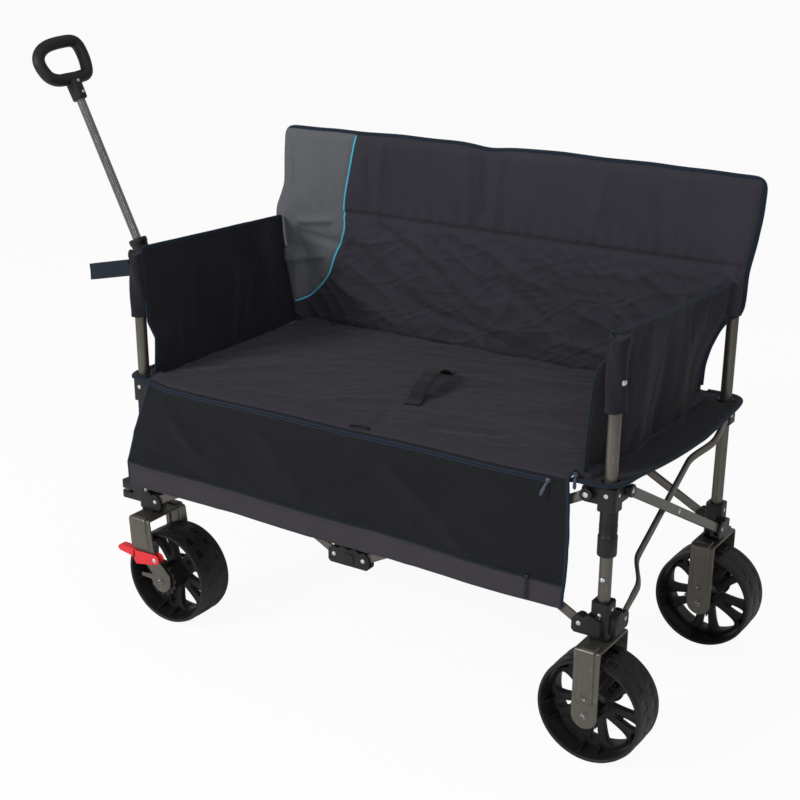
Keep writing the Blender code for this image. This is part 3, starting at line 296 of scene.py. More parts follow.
def webbing(name, dark, light, rib=0.0016):
    """Ribbed tape: cross ribs with two fine columns of thread, on the piece's own UV map in metres."""
    f = Finish(name, Sheen_Weight=0.05, Specular_IOR_Level=0.2)
    place = f.place(from_uv=True)
    along, across, _ = f.axes(place)
    ribs = (along * (TAU / rib) + (across * (TAU / (rib * 2))).sine() * 0.9).sine() * 0.5 + 0.5
    wear = f.cloud(f.place(), 30, 5)
    f.set(Base_Color=f.mix(ribs * 0.55 + wear * 0.45, linear(*dark), linear(*light)), Roughness=0.65 + wear * 0.2)
    f.bump((ribs, 0.0006, 0.6), (wear, 0.0008, 0.3))
    return f


def tyre_plastic():
    """Moulded wheel plastic whose tread is smoother where it is sunk, and darkened there by painted shade in the
    recesses.
    """
    f = moulded("wheel_plastic", (13, 13, 13), (26, 26, 26), 0.42, grain=520, strength=0.45)
    sunk = f.attribute("sunk")
    colour = f.shader.inputs["Base Color"].links[0].from_socket
    rough = f.shader.inputs["Roughness"].links[0].from_socket
    # painted shade: the sunk tread is mixed towards near black
    f.set(Base_Color=f.mix(sunk * 0.9, Wire(f, colour), linear(6, 6, 8)), Roughness=Wire(f, rough) - sunk * 0.14)
    return f


STEEL = painted_steel()
NYLON = moulded("black_nylon", (9, 9, 10), (21, 21, 23), 0.36)
WHEEL = tyre_plastic()
BARE = drawn_metal()
RED = moulded("red_plastic", (206, 26, 36), (228, 48, 56), 0.26, strength=0.2)
GRIP = moulded("soft_grip_plastic", (13, 13, 16), (27, 27, 31), 0.44, grain=420, strength=0.6)
ZINC = bright_zinc()
CLOTH = woven("padded_cloth", (44, 42, 49), (58, 56, 64))
BACK_CLOTH = woven("backrest_cloth", (46, 44, 51), (62, 60, 68), attribute="grey_side",
                   other=((86, 88, 93), (108, 110, 115)))
LINING = woven("lining_cloth", (26, 26, 32), (40, 39, 46), thread=0.0012)
HEM = woven("hem_cloth", (52, 50, 55), (68, 65, 71))
NETTING = netting()
NAVY = webbing("navy_binding", (14, 24, 37), (25, 42, 58))
BLUE = webbing("navy_zip_tape", (20, 33, 50), (34, 52, 76))
STRAP = webbing("black_webbing", (18, 18, 21), (36, 35, 40), rib=0.0022)
CYAN = webbing("cyan_piping", (64, 190, 232), (100, 216, 246), rib=0.001)
PULL = moulded("painted_zip_pull", (52, 58, 76), (84, 90, 110), 0.3, Metallic=0.6)
LOOP = webbing("navy_loop_webbing", (12, 20, 30), (24, 36, 50), rib=0.0022)
METAL_PULL = moulded("cast_zip_pull", (60, 64, 74), (90, 94, 106), 0.3, Metallic=0.8)


# Meshes


def mesh_of(points, faces, uvs=None, values=None):
    """uvs holds one pair for each face corner, in face order, and values one number for each point."""
    mesh = bpy.data.meshes.new("shape")
    mesh.from_pydata([tuple(p) for p in points], [], faces)
    if uvs is not None:
        layer = mesh.uv_layers.new(name="UVMap")
        layer.data.foreach_set("uv", np.asarray(uvs, np.float32).ravel())
    if values is not None:
        for name, numbers in values.items():
            made = mesh.attributes.new(name, "FLOAT", "POINT")
            made.data.foreach_set("value", np.asarray(numbers, np.float32).ravel())
    mesh.update()
    return mesh


def outward(mesh):
    shape = bmesh.new()
    shape.from_mesh(mesh)
    bmesh.ops.recalc_face_normals(shape, faces=shape.faces)
    shape.to_mesh(mesh)
    shape.free()
    return mesh


def rings(loops, across=None, closed=False, values=None):
    """A skin over loops of points (loop, point, xyz). across gives each loop's place along the UV map."""
    loops = np.asarray(loops, float)
    count, n = loops.shape[:2]
    girth = np.concatenate([[0], np.cumsum(np.linalg.norm(np.diff(loops[0], axis=0, append=loops[0][:1]), axis=1))])
    if across is None:
        centre = loops.mean(1)
        steps = np.linalg.norm(np.diff(centre, axis=0, append=centre[:1]), axis=1)
        across = np.concatenate([[0], np.cumsum(steps)])
    flat = loops.reshape(-1, 3)
    faces, uvs = [], []
    for k in range(count if closed else count - 1):
        after = (k + 1) % count
        for i in range(n):
            j = (i + 1) % n
            faces.append((k * n + i, k * n + j, after * n + j, after * n + i))
            near, far, low, high = across[k], across[k + 1], girth[i], girth[i + 1]
            uvs += [(near, low), (near, high), (far, high), (far, low)]
    if not closed:
        for loop in (range(n - 1, -1, -1), range((count - 1) * n, count * n)):
            faces.append(tuple(loop))
            uvs += [(flat[i][1], flat[i][2]) for i in loop]
    return outward(mesh_of(flat, faces, uvs, values))


def turned(profile, sides=48, axis="Z"):
    """A closed (radius, height) profile turned about an axis. Sharp corners come from doubled points."""
    loops = []
    for k in range(sides):
        a = TAU * k / sides
        loops.append([spin_to(axis, r * math.cos(a), r * math.sin(a), h) for r, h in profile])
    along = [k * TAU / sides * max(r for r, _ in profile) for k in range(sides + 1)]
    return rings(loops, across=along, closed=True)


def spin_to(axis, a, b, depth):
    return {"X": (depth, a, b), "Y": (a, depth, b), "Z": (a, b, depth)}[axis]


def swept(path, section, normals, closed=False):
    """A section of (across, out) points carried along a path. out follows the normals."""
    path, normals = np.asarray(path, float), np.asarray(normals, float)
    if closed:
        heading = np.roll(path, -1, 0) - np.roll(path, 1, 0)
    else:
        heading = np.gradient(path, axis=0)
    heading /= np.linalg.norm(heading, axis=1)[:, None]
    side = np.cross(normals, heading)
    side /= np.linalg.norm(side, axis=1)[:, None]
    out = np.cross(heading, side)
    section = np.asarray(section, float)
    loops = path[:, None] + side[:, None] * section[None, :, :1] + out[:, None] * section[None, :, 1:]
    return rings(loops, closed=closed)


def oval(width, thick, n=12, square=2.6):
    """A rounded oblong section."""

    def reach(size, share):
        return size / 2 * math.copysign(abs(share) ** (2 / square), share)

    angles = [TAU * (k + 0.5) / n for k in range(n)]
    return [(reach(width, math.cos(a)), reach(thick, math.sin(a))) for a in angles]


def all_facing(line, way):
    """A line's points, each with the same normal."""
    return line, np.tile(way, (len(line), 1))


def taped(line, width, thick, way, n=12, square=2.6):
    """A band of rounded section along a line, facing one way."""
    return swept(line, oval(width, thick, n, square), all_facing(line, way)[1])


def smooth_path(points, steps=8, closed=False):
    """A Catmull-Rom curve through the points."""
    p = np.asarray(points, float)
    n = len(p)
    found = []
    for i in range(n if closed else n - 1):
        a, b = p[(i - 1) % n] if closed or i else 2 * p[0] - p[1], p[i]
        c = p[(i + 1) % n]
        d = p[(i + 2) % n] if closed or i + 2 < n else 2 * p[-1] - p[-2]
        for k in range(steps):
            t = k / steps
            square, cube = 2 * a - 5 * b + 4 * c - d, 3 * b - a - 3 * c + d
            found.append(0.5 * (2 * b + (c - a) * t + square * t**2 + cube * t**3))
    if not closed:
        found.append(p[-1])
    return np.array(found)


def surface_normals(grid):
    across, up = np.gradient(grid, axis=1), np.gradient(grid, axis=0)
    normal = np.cross(across, up)
    return normal / np.maximum(np.linalg.norm(normal, axis=2), 1e-12)[..., None]


def panel(front, back, uv, values=None):
    """A closed soft piece from two grids of points (row, column, xyz), with its UV map in metres."""
    rows, columns = front.shape[:2]
    points = np.concatenate([front.reshape(-1, 3), back.reshape(-1, 3)])
    layer = rows * columns
    flat = np.concatenate([uv.reshape(-1, 2)] * 2)
    j, i = np.mgrid[0 : rows - 1, 0 : columns - 1]
    corner = (j * columns + i).ravel()
    quads = np.stack([corner, corner + 1, corner + columns + 1, corner + columns], 1)
    rim = [*range(columns - 1), *(k * columns + columns - 1 for k in range(rows - 1))]
    rim += [*(layer - 1 - k for k in range(columns - 1)), *((rows - 1 - k) * columns for k in range(rows - 1))]
    rim = np.array(rim)
    after = np.roll(rim, -1)
    sides = np.stack([rim, after, layer + after, layer + rim], 1)
    faces = np.concatenate([quads, layer + quads[:, ::-1], sides])
    if values is not None:
        values = {name: np.concatenate([v.ravel(), v.ravel()]) for name, v in values.items()}
    return outward(mesh_of(points, faces.tolist(), flat[faces.ravel()], values))


def cloth_sheet(middle, uv, thick):
    normal = surface_normals(middle)
    return panel(middle + normal * thick / 2, middle - normal * thick / 2, uv)


def joined(*meshes):
    """Several meshes as one. Each keeps its faces and UV map."""
    shape = bmesh.new()
    for mesh in meshes:
        shape.from_mesh(mesh)
    made = bpy.data.meshes.new("shape")
    shape.to_mesh(made)
    shape.free()
    return made


def moved(mesh, matrix):
    copy = mesh.copy()
    copy.transform(matrix)
    if matrix.determinant() < 0:
        copy.flip_normals()
    return copy


def finished(mesh, finish, angle=40):
    mesh.materials.clear()
    mesh.materials.append(finish.material)
    mesh.shade_smooth()
    mesh.set_sharp_from_angle(angle=math.radians(angle))
    return mesh


def piece(name, mesh, finish, body, stands_for=(), angle=40, fold=None, shift=True):
    """A finished piece. fold names an axis, X or Y; a piece given one gets a mesh of its own."""
    if shift:
        mesh.transform(HERE)
    obj = bpy.data.objects.new(name, finished(mesh, finish, angle))
    bpy.context.scene.collection.objects.link(obj)
    if stands_for:
        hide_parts(*stands_for)
    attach(obj, body)
    if fold == "X":
        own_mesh(obj)
    if fold == "Y":
        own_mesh(obj)
    return obj


def evaluated(obj):
    """The object's mesh with its modifiers applied. The object goes."""
    graph = bpy.context.evaluated_depsgraph_get()
    mesh = bpy.data.meshes.new_from_object(obj.evaluated_get(graph), depsgraph=graph)
    bpy.data.objects.remove(obj, do_unlink=True)
    return mesh


def worked(mesh, *steps):
    """A mesh with modifiers applied. Each step is (type, settings)."""
    obj = bpy.data.objects.new("work", mesh)
    bpy.context.scene.collection.objects.link(obj)
    for kind, settings in steps:
        step = obj.modifiers.new(kind.title(), kind)
        for key, value in settings.items():
            setattr(step, key, value)
    return evaluated(obj)


def cut_out(mesh, *cutters):
    """The mesh with closed shapes cut from it."""
    tools = []
    steps = []
    for cutter in cutters:
        tool = bpy.data.objects.new("cutter", cutter)
        bpy.context.scene.collection.objects.link(tool)
        tools.append(tool)
        steps.append(("BOOLEAN", {"operation": "DIFFERENCE", "solver": "EXACT", "object": tool}))
    made = worked(mesh, *steps)
    for tool in tools:
        bpy.data.objects.remove(tool, do_unlink=True)
    return made


def bevelled(mesh, width, segments, angle):
    """The mesh with its edges broken where two faces meet at more than the angle, in radians."""
    settings = {"width": width, "segments": segments, "limit_method": "ANGLE", "angle_limit": angle}
    return worked(mesh, ("BEVEL", settings))


def refined(node, finish, body, width):
    """A CAD node again, with its edges broken as on a moulding or a pressing."""
    shape = bmesh.new()
    shape.from_mesh(frame["nodes"][node].data)
    bmesh.ops.remove_doubles(shape, verts=shape.verts, dist=1e-6)
    bmesh.ops.dissolve_limit(shape, angle_limit=math.radians(1), verts=shape.verts, edges=shape.edges)
    mesh = bpy.data.meshes.new("shape")
    shape.to_mesh(mesh)
    shape.free()
    shape = bevelled(mesh, width, 2, math.radians(32))
    return piece(f"{node}_moulding", shape, finish, body, [node], angle=28, shift=False)


# Soft surface detail


def value_noise(x, y, seed):
    """Smooth noise from -1 to 1 over arrays."""
    xi, yi = np.floor(x).astype(np.int64), np.floor(y).astype(np.int64)
    fx, fy = x - xi, y - yi

    def corner(dx, dy):
        h = (xi + dx) * 374761393 + (yi + dy) * 668265263 + seed * 974634777
        h = (h ^ (h >> 13)) * 1274126177
        angle = ((h ^ (h >> 16)) & 0xFFFF) / 65536 * TAU
        return np.cos(angle) * (fx - dx) + np.sin(angle) * (fy - dy)

    sx, sy = fx**3 * (6 * fx**2 - 15 * fx + 10), fy**3 * (6 * fy**2 - 15 * fy + 10)
    low = corner(0, 0) * (1 - sx) + corner(1, 0) * sx
    high = corner(0, 1) * (1 - sx) + corner(1, 1) * sx
    return 1.5 * (low * (1 - sy) + high * sy)


def creased(x, y, seed, size, lean=0.0, stretch=2.2):
    """Sharp-crested wrinkles that run along one lean, as slack cloth has. x and y are in metres."""
    c, s = math.cos(lean), math.sin(lean)
    a, b = (x * c + y * s) / size / stretch, (y * c - x * s) / size
    a, b = a + 0.5 * value_noise(a * 0.7, b * 0.5, seed + 7), b + 0.6 * value_noise(a * 0.8, b * 0.6, seed + 3)
    ridge = 1 - np.abs(value_noise(a, b, seed)) * 2.4
    return np.clip(ridge, 0, 1) ** 2 - 0.25


def fold_along(x, y, start, end, width, height):
    """One soft fold from start to end, fading at both."""
    ax, ay = start
    dx, dy = end[0] - ax, end[1] - ay
    length = math.hypot(dx, dy)
    along = ((x - ax) * dx + (y - ay) * dy) / length
    off = ((y - ay) * dx - (x - ax) * dy) / length
    past = np.maximum(0, np.maximum(-along, along - length))
    return height * np.exp(-((off / width) ** 2) - (past / (1.5 * width)) ** 2)


def folded(base, share, x, y, folds, times):
    """The base with soft folds on it. Each fold is (start, end, width, height)."""
    for start, end, width, height in folds:
        base = base + share * fold_along(x, y, start, end, width, times * height)
    return base


def ease(t):
    t = np.clip(t, 0, 1)
    return t * t * (3 - 2 * t)


def rim_rise(u, v, edge_u, edge_v):
    """0 on a pad's rim and 1 inside it, with a rounded shoulder."""
    du, dv = np.minimum(u, 1 - u) / edge_u, np.minimum(v, 1 - v) / edge_v
    return np.sqrt(1 - (1 - np.clip(du, 0, 1)) ** 2) * np.sqrt(1 - (1 - np.clip(dv, 0, 1)) ** 2)


# Geometry Nodes: heads on points, and stitches or zip teeth along a line


class Growth:
    """A node tree that sets copies of one small shape on points or along lines."""

    def __init__(self, name, inputs):
        self.tree = bpy.data.node_groups.new(name, "GeometryNodeTree")
        face = self.tree.interface
        face.new_socket("Geometry", in_out="INPUT", socket_type="NodeSocketGeometry")
        self.ids = {n: face.new_socket(n, in_out="INPUT", socket_type="NodeSocket" + k).identifier
                    for n, k in inputs}
        face.new_socket("Geometry", in_out="OUTPUT", socket_type="NodeSocketGeometry")
        self.inside = self.tree.nodes.new("NodeGroupInput")
        self.out = self.tree.nodes.new("NodeGroupOutput")

    def add(self, kind, settings=None, sockets=None):
        node = self.tree.nodes.new(kind)
        for key, value in (settings or {}).items():
            setattr(node, key, value)
        for key, value in (sockets or {}).items():
            if isinstance(value, bpy.types.NodeSocket):
                self.tree.links.new(value, node.inputs[key])
            else:
                node.inputs[key].default_value = value
        return node.outputs[0]

    def given(self, name):
        return self.inside.outputs[name]

    def ended(self, instances):
        real = self.add("GeometryNodeRealizeInstances", None, {0: instances})
        painted = self.add("GeometryNodeSetMaterial", None, {"Geometry": real, "Material": self.given("Material")})
        self.tree.links.new(painted, self.out.inputs[0])
        return self

    def grown(self, mesh, finish, **values):
        obj = bpy.data.objects.new("seeds", mesh)
        bpy.context.scene.collection.objects.link(obj)
        step = obj.modifiers.new("Growth", "NODES")
        step.node_group = self.tree
        for name, value in {**values, "Material": finish.material}.items():
            step[self.ids[name]] = value
        return evaluated(obj)


def facing(g):
    return g.add("GeometryNodeInputNamedAttribute", {"data_type": "FLOAT_VECTOR"}, {"Name": "facing"})


def scaled(g, mesh, x, y, z):
    size = g.add("ShaderNodeCombineXYZ", None, {0: x, 1: y, 2: z})
    return g.add("GeometryNodeTransform", None, {"Geometry": mesh, "Scale": size})


def rivet_growth():
    g = Growth("rivet_heads", [("Radius", "Float"), ("Height", "Float"), ("Material", "Material")])
    dome = g.add("GeometryNodeMeshUVSphere", None, {"Segments": 16, "Rings": 9, "Radius": 1.0})
    dome = scaled(g, dome, g.given("Radius"), g.given("Radius"), g.given("Height"))
    wide = g.add("ShaderNodeMath", {"operation": "MULTIPLY"}, {0: g.given("Radius"), 1: 1.28})
    washer = g.add("GeometryNodeMeshCylinder", {"fill_type": "NGON"},
                   {"Vertices": 20, "Radius": wide, "Depth": 0.0008})
    both = g.add("GeometryNodeJoinGeometry")
    for part in (washer, dome):
        g.tree.links.new(part, both.node.inputs[0])
    turn = g.add("FunctionNodeAlignRotationToVector", {"axis": "Z"}, {"Vector": facing(g)})
    return g.ended(g.add("GeometryNodeInstanceOnPoints", None,
                         {"Points": g.given("Geometry"), "Instance": both, "Rotation": turn}))


def row_growth(name, shape):
    """Copies along a line. The shape is drawn with X along the line and Z out."""
    g = Growth(name, [("Spacing", "Float"), ("Long", "Float"), ("Wide", "Float"), ("High", "Float"),
                      ("Material", "Material")])
    line = g.add("GeometryNodeMeshToCurve", None, {"Mesh": g.given("Geometry")})
    line = g.add("GeometryNodeResampleCurve", {"mode": "LENGTH"}, {"Curve": line, "Length": g.given("Spacing")})
    body = scaled(g, shape(g), g.given("Long"), g.given("Wide"), g.given("High"))
    up = g.add("FunctionNodeAlignRotationToVector", {"axis": "Z"}, {"Vector": facing(g)})
    tangent = g.add("GeometryNodeInputTangent")
    turn = g.add("FunctionNodeAlignRotationToVector", {"axis": "X", "pivot_axis": "Z"},
                 {"Rotation": up, "Vector": tangent})
    return g.ended(g.add("GeometryNodeInstanceOnPoints", None, {"Points": line, "Instance": body, "Rotation": turn}))


RIVETS = rivet_growth()
STITCHES = row_growth("stitch_row", lambda g: g.add("GeometryNodeMeshIcoSphere", None,
                                                    {"Radius": 0.5, "Subdivisions": 2}))
TEETH = row_growth("tooth_row", lambda g: g.add("GeometryNodeMeshCube", None, {"Size": (1.0, 1.0, 1.0)}))


def seeds(points, normals, lines=()):
    """Points, or lines of points, each with the way it faces."""
    edges = []
    for start, count in lines:
        edges += [(start + k, start + k + 1) for k in range(count - 1)]
    mesh = bpy.data.meshes.new("seeds")
    mesh.from_pydata([tuple(p) for p in points], edges, [])
    made = mesh.attributes.new("facing", "FLOAT_VECTOR", "POINT")
    made.data.foreach_set("vector", np.asarray(normals, np.float32).ravel())
    return mesh


def stitched(lines, finish=CLOTH, spacing=0.0042, long=0.003, wide=0.0007, high=0.0007, growth=STITCHES):
    """Stitches along lines of (path, normals)."""
    points, normals, runs = [], [], []
    for path, facings in lines:
        runs.append((len(points), len(path)))
        points += list(path)
        normals += list(facings)
    return growth.grown(seeds(points, normals, runs), finish, Spacing=spacing, Long=long, Wide=wide, High=high)


def riveted(name, body, spots, radius=0.0032, height=0.0016):
    """Domed rivets at (point, normal) spots on one body."""
    mesh = RIVETS.grown(seeds(*zip(*spots)), ZINC, Radius=radius, Height=height)
    return piece(name, mesh, ZINC, body)


# Posts, couplers and buttons


def post_pipe(top):
    """A painted tube with a rounded lip and a recessed plastic plug."""
    r, lip, low = POST_R, 0.0012, POST_LOW
    profile = [(r, low), (r, low + 0.01), (r, 0.45), (r, top - lip), (r - 0.0004, top - 0.0003), (r - lip, top),
               (r - 0.003, top - 0.0005), (0.0005, top - 0.0005), (0.0005, top - 0.006), (r - 0.002, top - 0.006),
               (r - 0.0021, low)]
    return turned(profile, 40)


def at_corner(end, side):
    return Matrix.Translation((ENDS[end] * POST_X, SIDES[side] * POST_Y, 0))


def dress_posts():
    for end, side in CORNERS:
        corner = f"{end}_{side}"
        open_side = side == "left"
        spot = at_corner(end, side)
        piece(f"post_tube_{corner}", moved(post_pipe(POST_TOP[side]), spot), STEEL, f"corner_{corner}",
              [f"post_{corner}"])
        if open_side:
            profile = [(0.0113, 0.376), (0.0158, 0.376), (0.0166, 0.3775), (0.0166, 0.4105), (0.016, 0.412),
                       (0.0152, 0.4132), (0.0152, 0.452), (0.0146, 0.4548), (0.0134, 0.456), (0.0113, 0.456)]
            sleeve = turned(profile, 40)
            ribs = [turned([(0.015, z), (0.0156, z + 0.0004), (0.0156, z + 0.0014), (0.015, z + 0.0018)], 40)
                    for z in (0.4195, 0.4245, 0.4295)]
            piece(f"coupler_sleeve_{corner}", moved(joined(sleeve, *ribs), spot), NYLON, f"corner_{corner}",
                  [f"post_coupler_{corner}"])
            r = 0.0044
            dome = [(0.0002, -0.0136)] + [(r * math.sin(a), -0.0136 + 0.0022 * (1 - math.cos(a)))
                                          for a in (0.3, 0.6, 0.9, 1.2, 1.5)] + [(r, -0.0046), (0.0002, -0.0046)]
            pin = moved(turned(dome, 24, "Y"), spot @ Matrix.Translation((0, 0, 0.3335)))
            piece(f"sprung_button_{corner}", pin, ZINC, f"button_{end}", [f"push_button_{corner}"])


# Corner and middle blocks


def dress_blocks():
    for end, side in CORNERS:
        corner = f"{end}_{side}"
        refined(f"lower_joint_{corner}", NYLON, f"corner_{corner}", 0.0009)
        refined(f"sliding_joint_{corner}", NYLON, f"slider_{corner}", 0.0009)
    for side in SIDES:
        refined(f"centre_lower_{side}", NYLON, f"centre_{side}", 0.0009)
        refined(f"centre_upper_{side}", NYLON, f"centre_slider_{side}", 0.0009)
    for end, side in CORNERS:
        ex, ey = ENDS[end], SIDES[side]
        x, y = ex * POST_X, ey * POST_Y
        along, across = (ex, 0, 0), (0, ey, 0)
        end_face, side_face = x + ex * BLOCK_FACE, y + ey * BLOCK_FACE
        spots = [((x - ex * PIVOT_IN, y + ey * CLEVIS_FACE, PIVOT_Z), across),
                 ((x + ex * CLEVIS_FACE, y - ey * PIVOT_IN, PIVOT_Z), along),
                 ((end_face, y, 0.279), along), ((x, side_face, 0.27), across), ((x, side_face, 0.262), across)]
        riveted(f"low_rivets_{end}_{side}", f"corner_{end}_{side}", spots)
        spots = [((x - ex * 0.034, side_face, 0.489), across), ((end_face, y - ey * 0.034, 0.489), along),
                 ((end_face, y, 0.485), along), ((x, side_face, 0.485), across)]
        riveted(f"high_rivets_{end}_{side}", f"slider_{end}_{side}", spots, 0.003)
    for side, ey in SIDES.items():
        y, across = ey * POST_Y, (0, ey, 0)
        spots = [((s * PIVOT_IN, y + ey * CLEVIS_FACE, PIVOT_Z), across) for s in (-1, 1)]
        riveted(f"low_rivets_{side}", f"centre_{side}", spots)
        spots = [((s * 0.018, y + ey * BLOCK_FACE, 0.484), across) for s in (-1, 1)]
        riveted(f"high_rivets_{side}", f"centre_slider_{side}", spots, 0.003)


# Scissor bars

BAR_THICK = 0.006
SPAN, OPEN_RISE = 2 * POST_Y - 2 * PIVOT_IN, 0.232
BAR_LENGTH = math.hypot(SPAN, OPEN_RISE)


def bar_mesh(width, bent):
    """A flat bar with rolled edges and round ends. X along it, Y outward, Z across its width."""
    stations = [(-width / 2 * math.cos(a), math.sin(a)) for a in np.linspace(0.12, math.pi / 2, 9)]
    middle = np.linspace(0.08, 0.92, 57) * BAR_LENGTH
    far = [(BAR_LENGTH - x, share) for x, share in stations[::-1]]
    loops = []
    for along, share in stations + [(x, 1.0) for x in middle] + far:
        out = swell = 0.0
        if bent:
            for start, sign in ((0.2 * BAR_LENGTH, 1), (0.8 * BAR_LENGTH, -1)):
                out += sign * -0.027 * float(ease((along - start) / 0.07 + 0.5))
            swell = 0.0025 * float(ease((min(along, BAR_LENGTH - along) - 0.03) / 0.02))
        section = oval(width, BAR_THICK + swell, 16, 2.8 if bent else 4.5)
        loops.append([(along, out + b, a * share) for a, b in section])
    return rings(loops)


def head_mesh(radius, out):
    """A moulded cap over a bar's upper pivot, with a dished face."""
    low = BAR_THICK / 2 - 0.001
    profile = [(0.0003, low), (radius, low), (radius, out - 0.0012), (radius - 0.0004, out - 0.0004),
               (radius - 0.0012, out), (0.006, out), (0.0052, out - 0.0006), (0.0003, out - 0.0006)]
    return moved(turned(profile, 32, "Y"), Matrix.Translation((BAR_LENGTH, 0, 0)))


def bar_frame(pivot, towards, outward_axis):
    along, out = Vector(towards).normalized(), Vector(outward_axis)
    matrix = Matrix((along, out, along.cross(out))).transposed().to_4x4()
    matrix.translation = pivot
    return matrix


def dress_bar(node, bent, matrix):
    width = 0.017 if bent else 0.018
    piece(f"{node}_bar", moved(bar_mesh(width, bent), matrix), STEEL, node, [node])
    piece(f"{node}_cap", moved(head_mesh(0.0115, 0.007), matrix), NYLON, node)
    flip = matrix.to_3x3()
    spots = [(matrix @ Vector((BAR_LENGTH, 0.0064, 0)), flip @ Vector((0, 1, 0)))]
    if not bent:
        spots.append((matrix @ Vector((BAR_LENGTH / 2, 0.003, 0)), flip @ Vector((0, 1, 0))))
        spots.append((matrix @ Vector((BAR_LENGTH / 2, -0.003, 0)), flip @ Vector((0, -1, 0))))
    riveted(f"{node}_rivets", node, spots, 0.0036, 0.0018)


def dress_bars():
    for side, ey in SIDES.items():
        y, outward_axis = ey * (POST_Y + BAR_PLANE), (0, ey, 0)
        for end, ex in ENDS.items():
            corner_x, centre_x = ex * (POST_X - PIVOT_IN), ex * PIVOT_IN
            low = bar_frame((corner_x, y, PIVOT_Z), (centre_x - corner_x, 0, OPEN_RISE), outward_axis)
            high = bar_frame((centre_x, y, PIVOT_Z), (corner_x - centre_x, 0, OPEN_RISE), outward_axis)
            dress_bar(f"side_bar_straight_{end}_{side}", False, low)
            dress_bar(f"side_bar_bent_{end}_{side}", True, high)
    for end, ex in ENDS.items():
        x, y = ex * (POST_X + BAR_PLANE), POST_Y - PIVOT_IN
        for kind, sign in (("bent", 1), ("straight", -1)):
            matrix = bar_frame((x, -sign * y, PIVOT_Z), (0, sign * 2 * y, OPEN_RISE), (ex, 0, 0))
            dress_bar(f"end_bar_{kind}_{end}", kind == "bent", matrix)


# Wheels, forks and brakes

WHEEL_R, WHEEL_WIDTH = 0.098, 0.0834
AXLE_Z = WHEEL_R * math.cos(math.pi / 30)
TRAIL = 0.062
SPOKE_STEP = TAU / 5


def tread_height(angle, y):
    """How deep the tread is sunk, from 0 to 1: staggered oblongs on both shoulders and stepped lines between."""
    a = np.mod(angle * 20 / TAU + np.where(y > 0, 0.0, 0.5), 1.0)
    side = np.abs(y)
    oblong = ease((0.5 - np.abs(a - 0.5)) * 14 - 2.4)
    oblong = oblong * ease((side - 0.0085) / 0.0012) * ease((0.0255 - side) / 0.0012)
    step = ease(1.4 - np.abs(a - np.where(side < 0.017, 0.04, 0.96)) * 34) * ease((0.03 - side) / 0.001)
    return np.maximum(oblong, 0.5 * step)


def tyre_mesh():
    """The tread band and the barrel that narrows from both lips to the web."""
    half, around = WHEEL_WIDTH / 2, 360
    tread = [(None, y) for y in np.linspace(-0.0305, 0.0305, 71)]
    profile = [(0.086, -0.0058), (0.0866, -0.016), (0.0876, -0.03), (0.0893, half * -0.94),
               (0.0903, 0.0006 - half), (0.0925, -half), (0.0948, 0.0006 - half), (0.0962, -0.0375), (0.0974, -0.0325)]
    profile += tread + [(r, -y) for r, y in reversed(profile)]
    angles = TAU * np.arange(around) / around
    rows, sunk = [], []
    for r, y in profile:
        depth = np.zeros(around)
        if r is None:
            depth = tread_height(angles, np.full(around, y))
            radius = WHEEL_R - 0.0002 - 0.0008 * (y / 0.03) ** 2 - 0.0012 * depth
        else:
            radius = np.full(around, r)
        rows.append(np.stack([radius * np.cos(angles), np.full(around, y), radius * np.sin(angles)], 1))
        sunk.append(depth)
    loops = np.stack(rows, 1)
    across = (angles * WHEEL_R).tolist() + [TAU * WHEEL_R]
    return rings(loops, across, closed=True, values={"sunk": np.stack(sunk, 1)})


def arc(radius, start, end, steps):
    return [(radius * math.cos(a), radius * math.sin(a)) for a in np.linspace(start, end, steps)]


def plate(outline, low, high, axis="Y"):
    """A closed outline given a thickness."""
    return rings([[spin_to(axis, a, b, depth) for a, b in outline] for depth in (low, high)])


def leaf(middle, half, inner, outer, blunt):
    """A leaf-shaped window: narrow at the hub, broad at the rim."""
    edge = [(0.45 * outer, 0.62), (0.78 * outer, 0.98), (0.95 * outer, blunt), (outer, 0.55)]
    points = [(inner, middle), *((r, middle + half * share) for r, share in edge), (outer * 1.004, middle)]
    points += [(r, middle - half * share) for r, share in edge[::-1]]
    flat = [(r * math.cos(a), r * math.sin(a)) for r, a in points]
    return [tuple(p) for p in smooth_path(flat, 5, closed=True)]


def web_mesh():
    """Five pairs of spokes between leaf windows."""
    disc = plate(arc(0.0885, 0, TAU, 121)[:-1], -0.006, 0.006)
    cutters = []
    for k in range(5):
        middle = math.pi / 2 + k * SPOKE_STEP
        cutters.append(plate(leaf(middle, math.radians(16.5), 0.0285, 0.0805, 0.9), -0.02, 0.02))
        slim = leaf(middle + SPOKE_STEP / 2, math.radians(6.2), 0.052, 0.077, 0.86)
        cutters.append(plate(slim, -0.02, 0.02))
    return bevelled(cut_out(disc, *cutters), 0.0018, 2, 0.9)


def mirrored(half):
    """Half an outline of (radius, y), with its mirror image after it."""
    return half + [(r, -y) for r, y in half[::-1]]


def hub_mesh():
    half = [(0.0053, -0.0525), (0.013, -0.0525), (0.0148, -0.0515), (0.0153, -0.012), (0.02, -0.0072),
            (0.0225, -0.0058)]
    return turned(mirrored(half), 40, "Y")


def rib_meshes():
    """Plates beside each spoke that stiffen the barrel, on both sides of the web, and fins round the hub."""

    def turned_plate(outline, half, angle):
        return moved(plate(outline, -half, half, "Z"), Matrix.Rotation(-angle, 4, "Y"))

    rib = mirrored([(0.0905, -0.0375), (0.0878, -0.0345), (0.077, -0.006)])
    fin = mirrored([(0.014, -0.046), (0.0152, -0.046), (0.0215, -0.012)])
    made = []
    for k in range(5):
        for side in (-1, 1):
            angle = math.pi / 2 + (k + 0.5) * SPOKE_STEP + side * math.radians(10.5)
            made.append(turned_plate(rib, 0.001, angle))
        made.append(turned_plate(fin, 0.0011, math.pi / 2 + k * SPOKE_STEP))
    return made


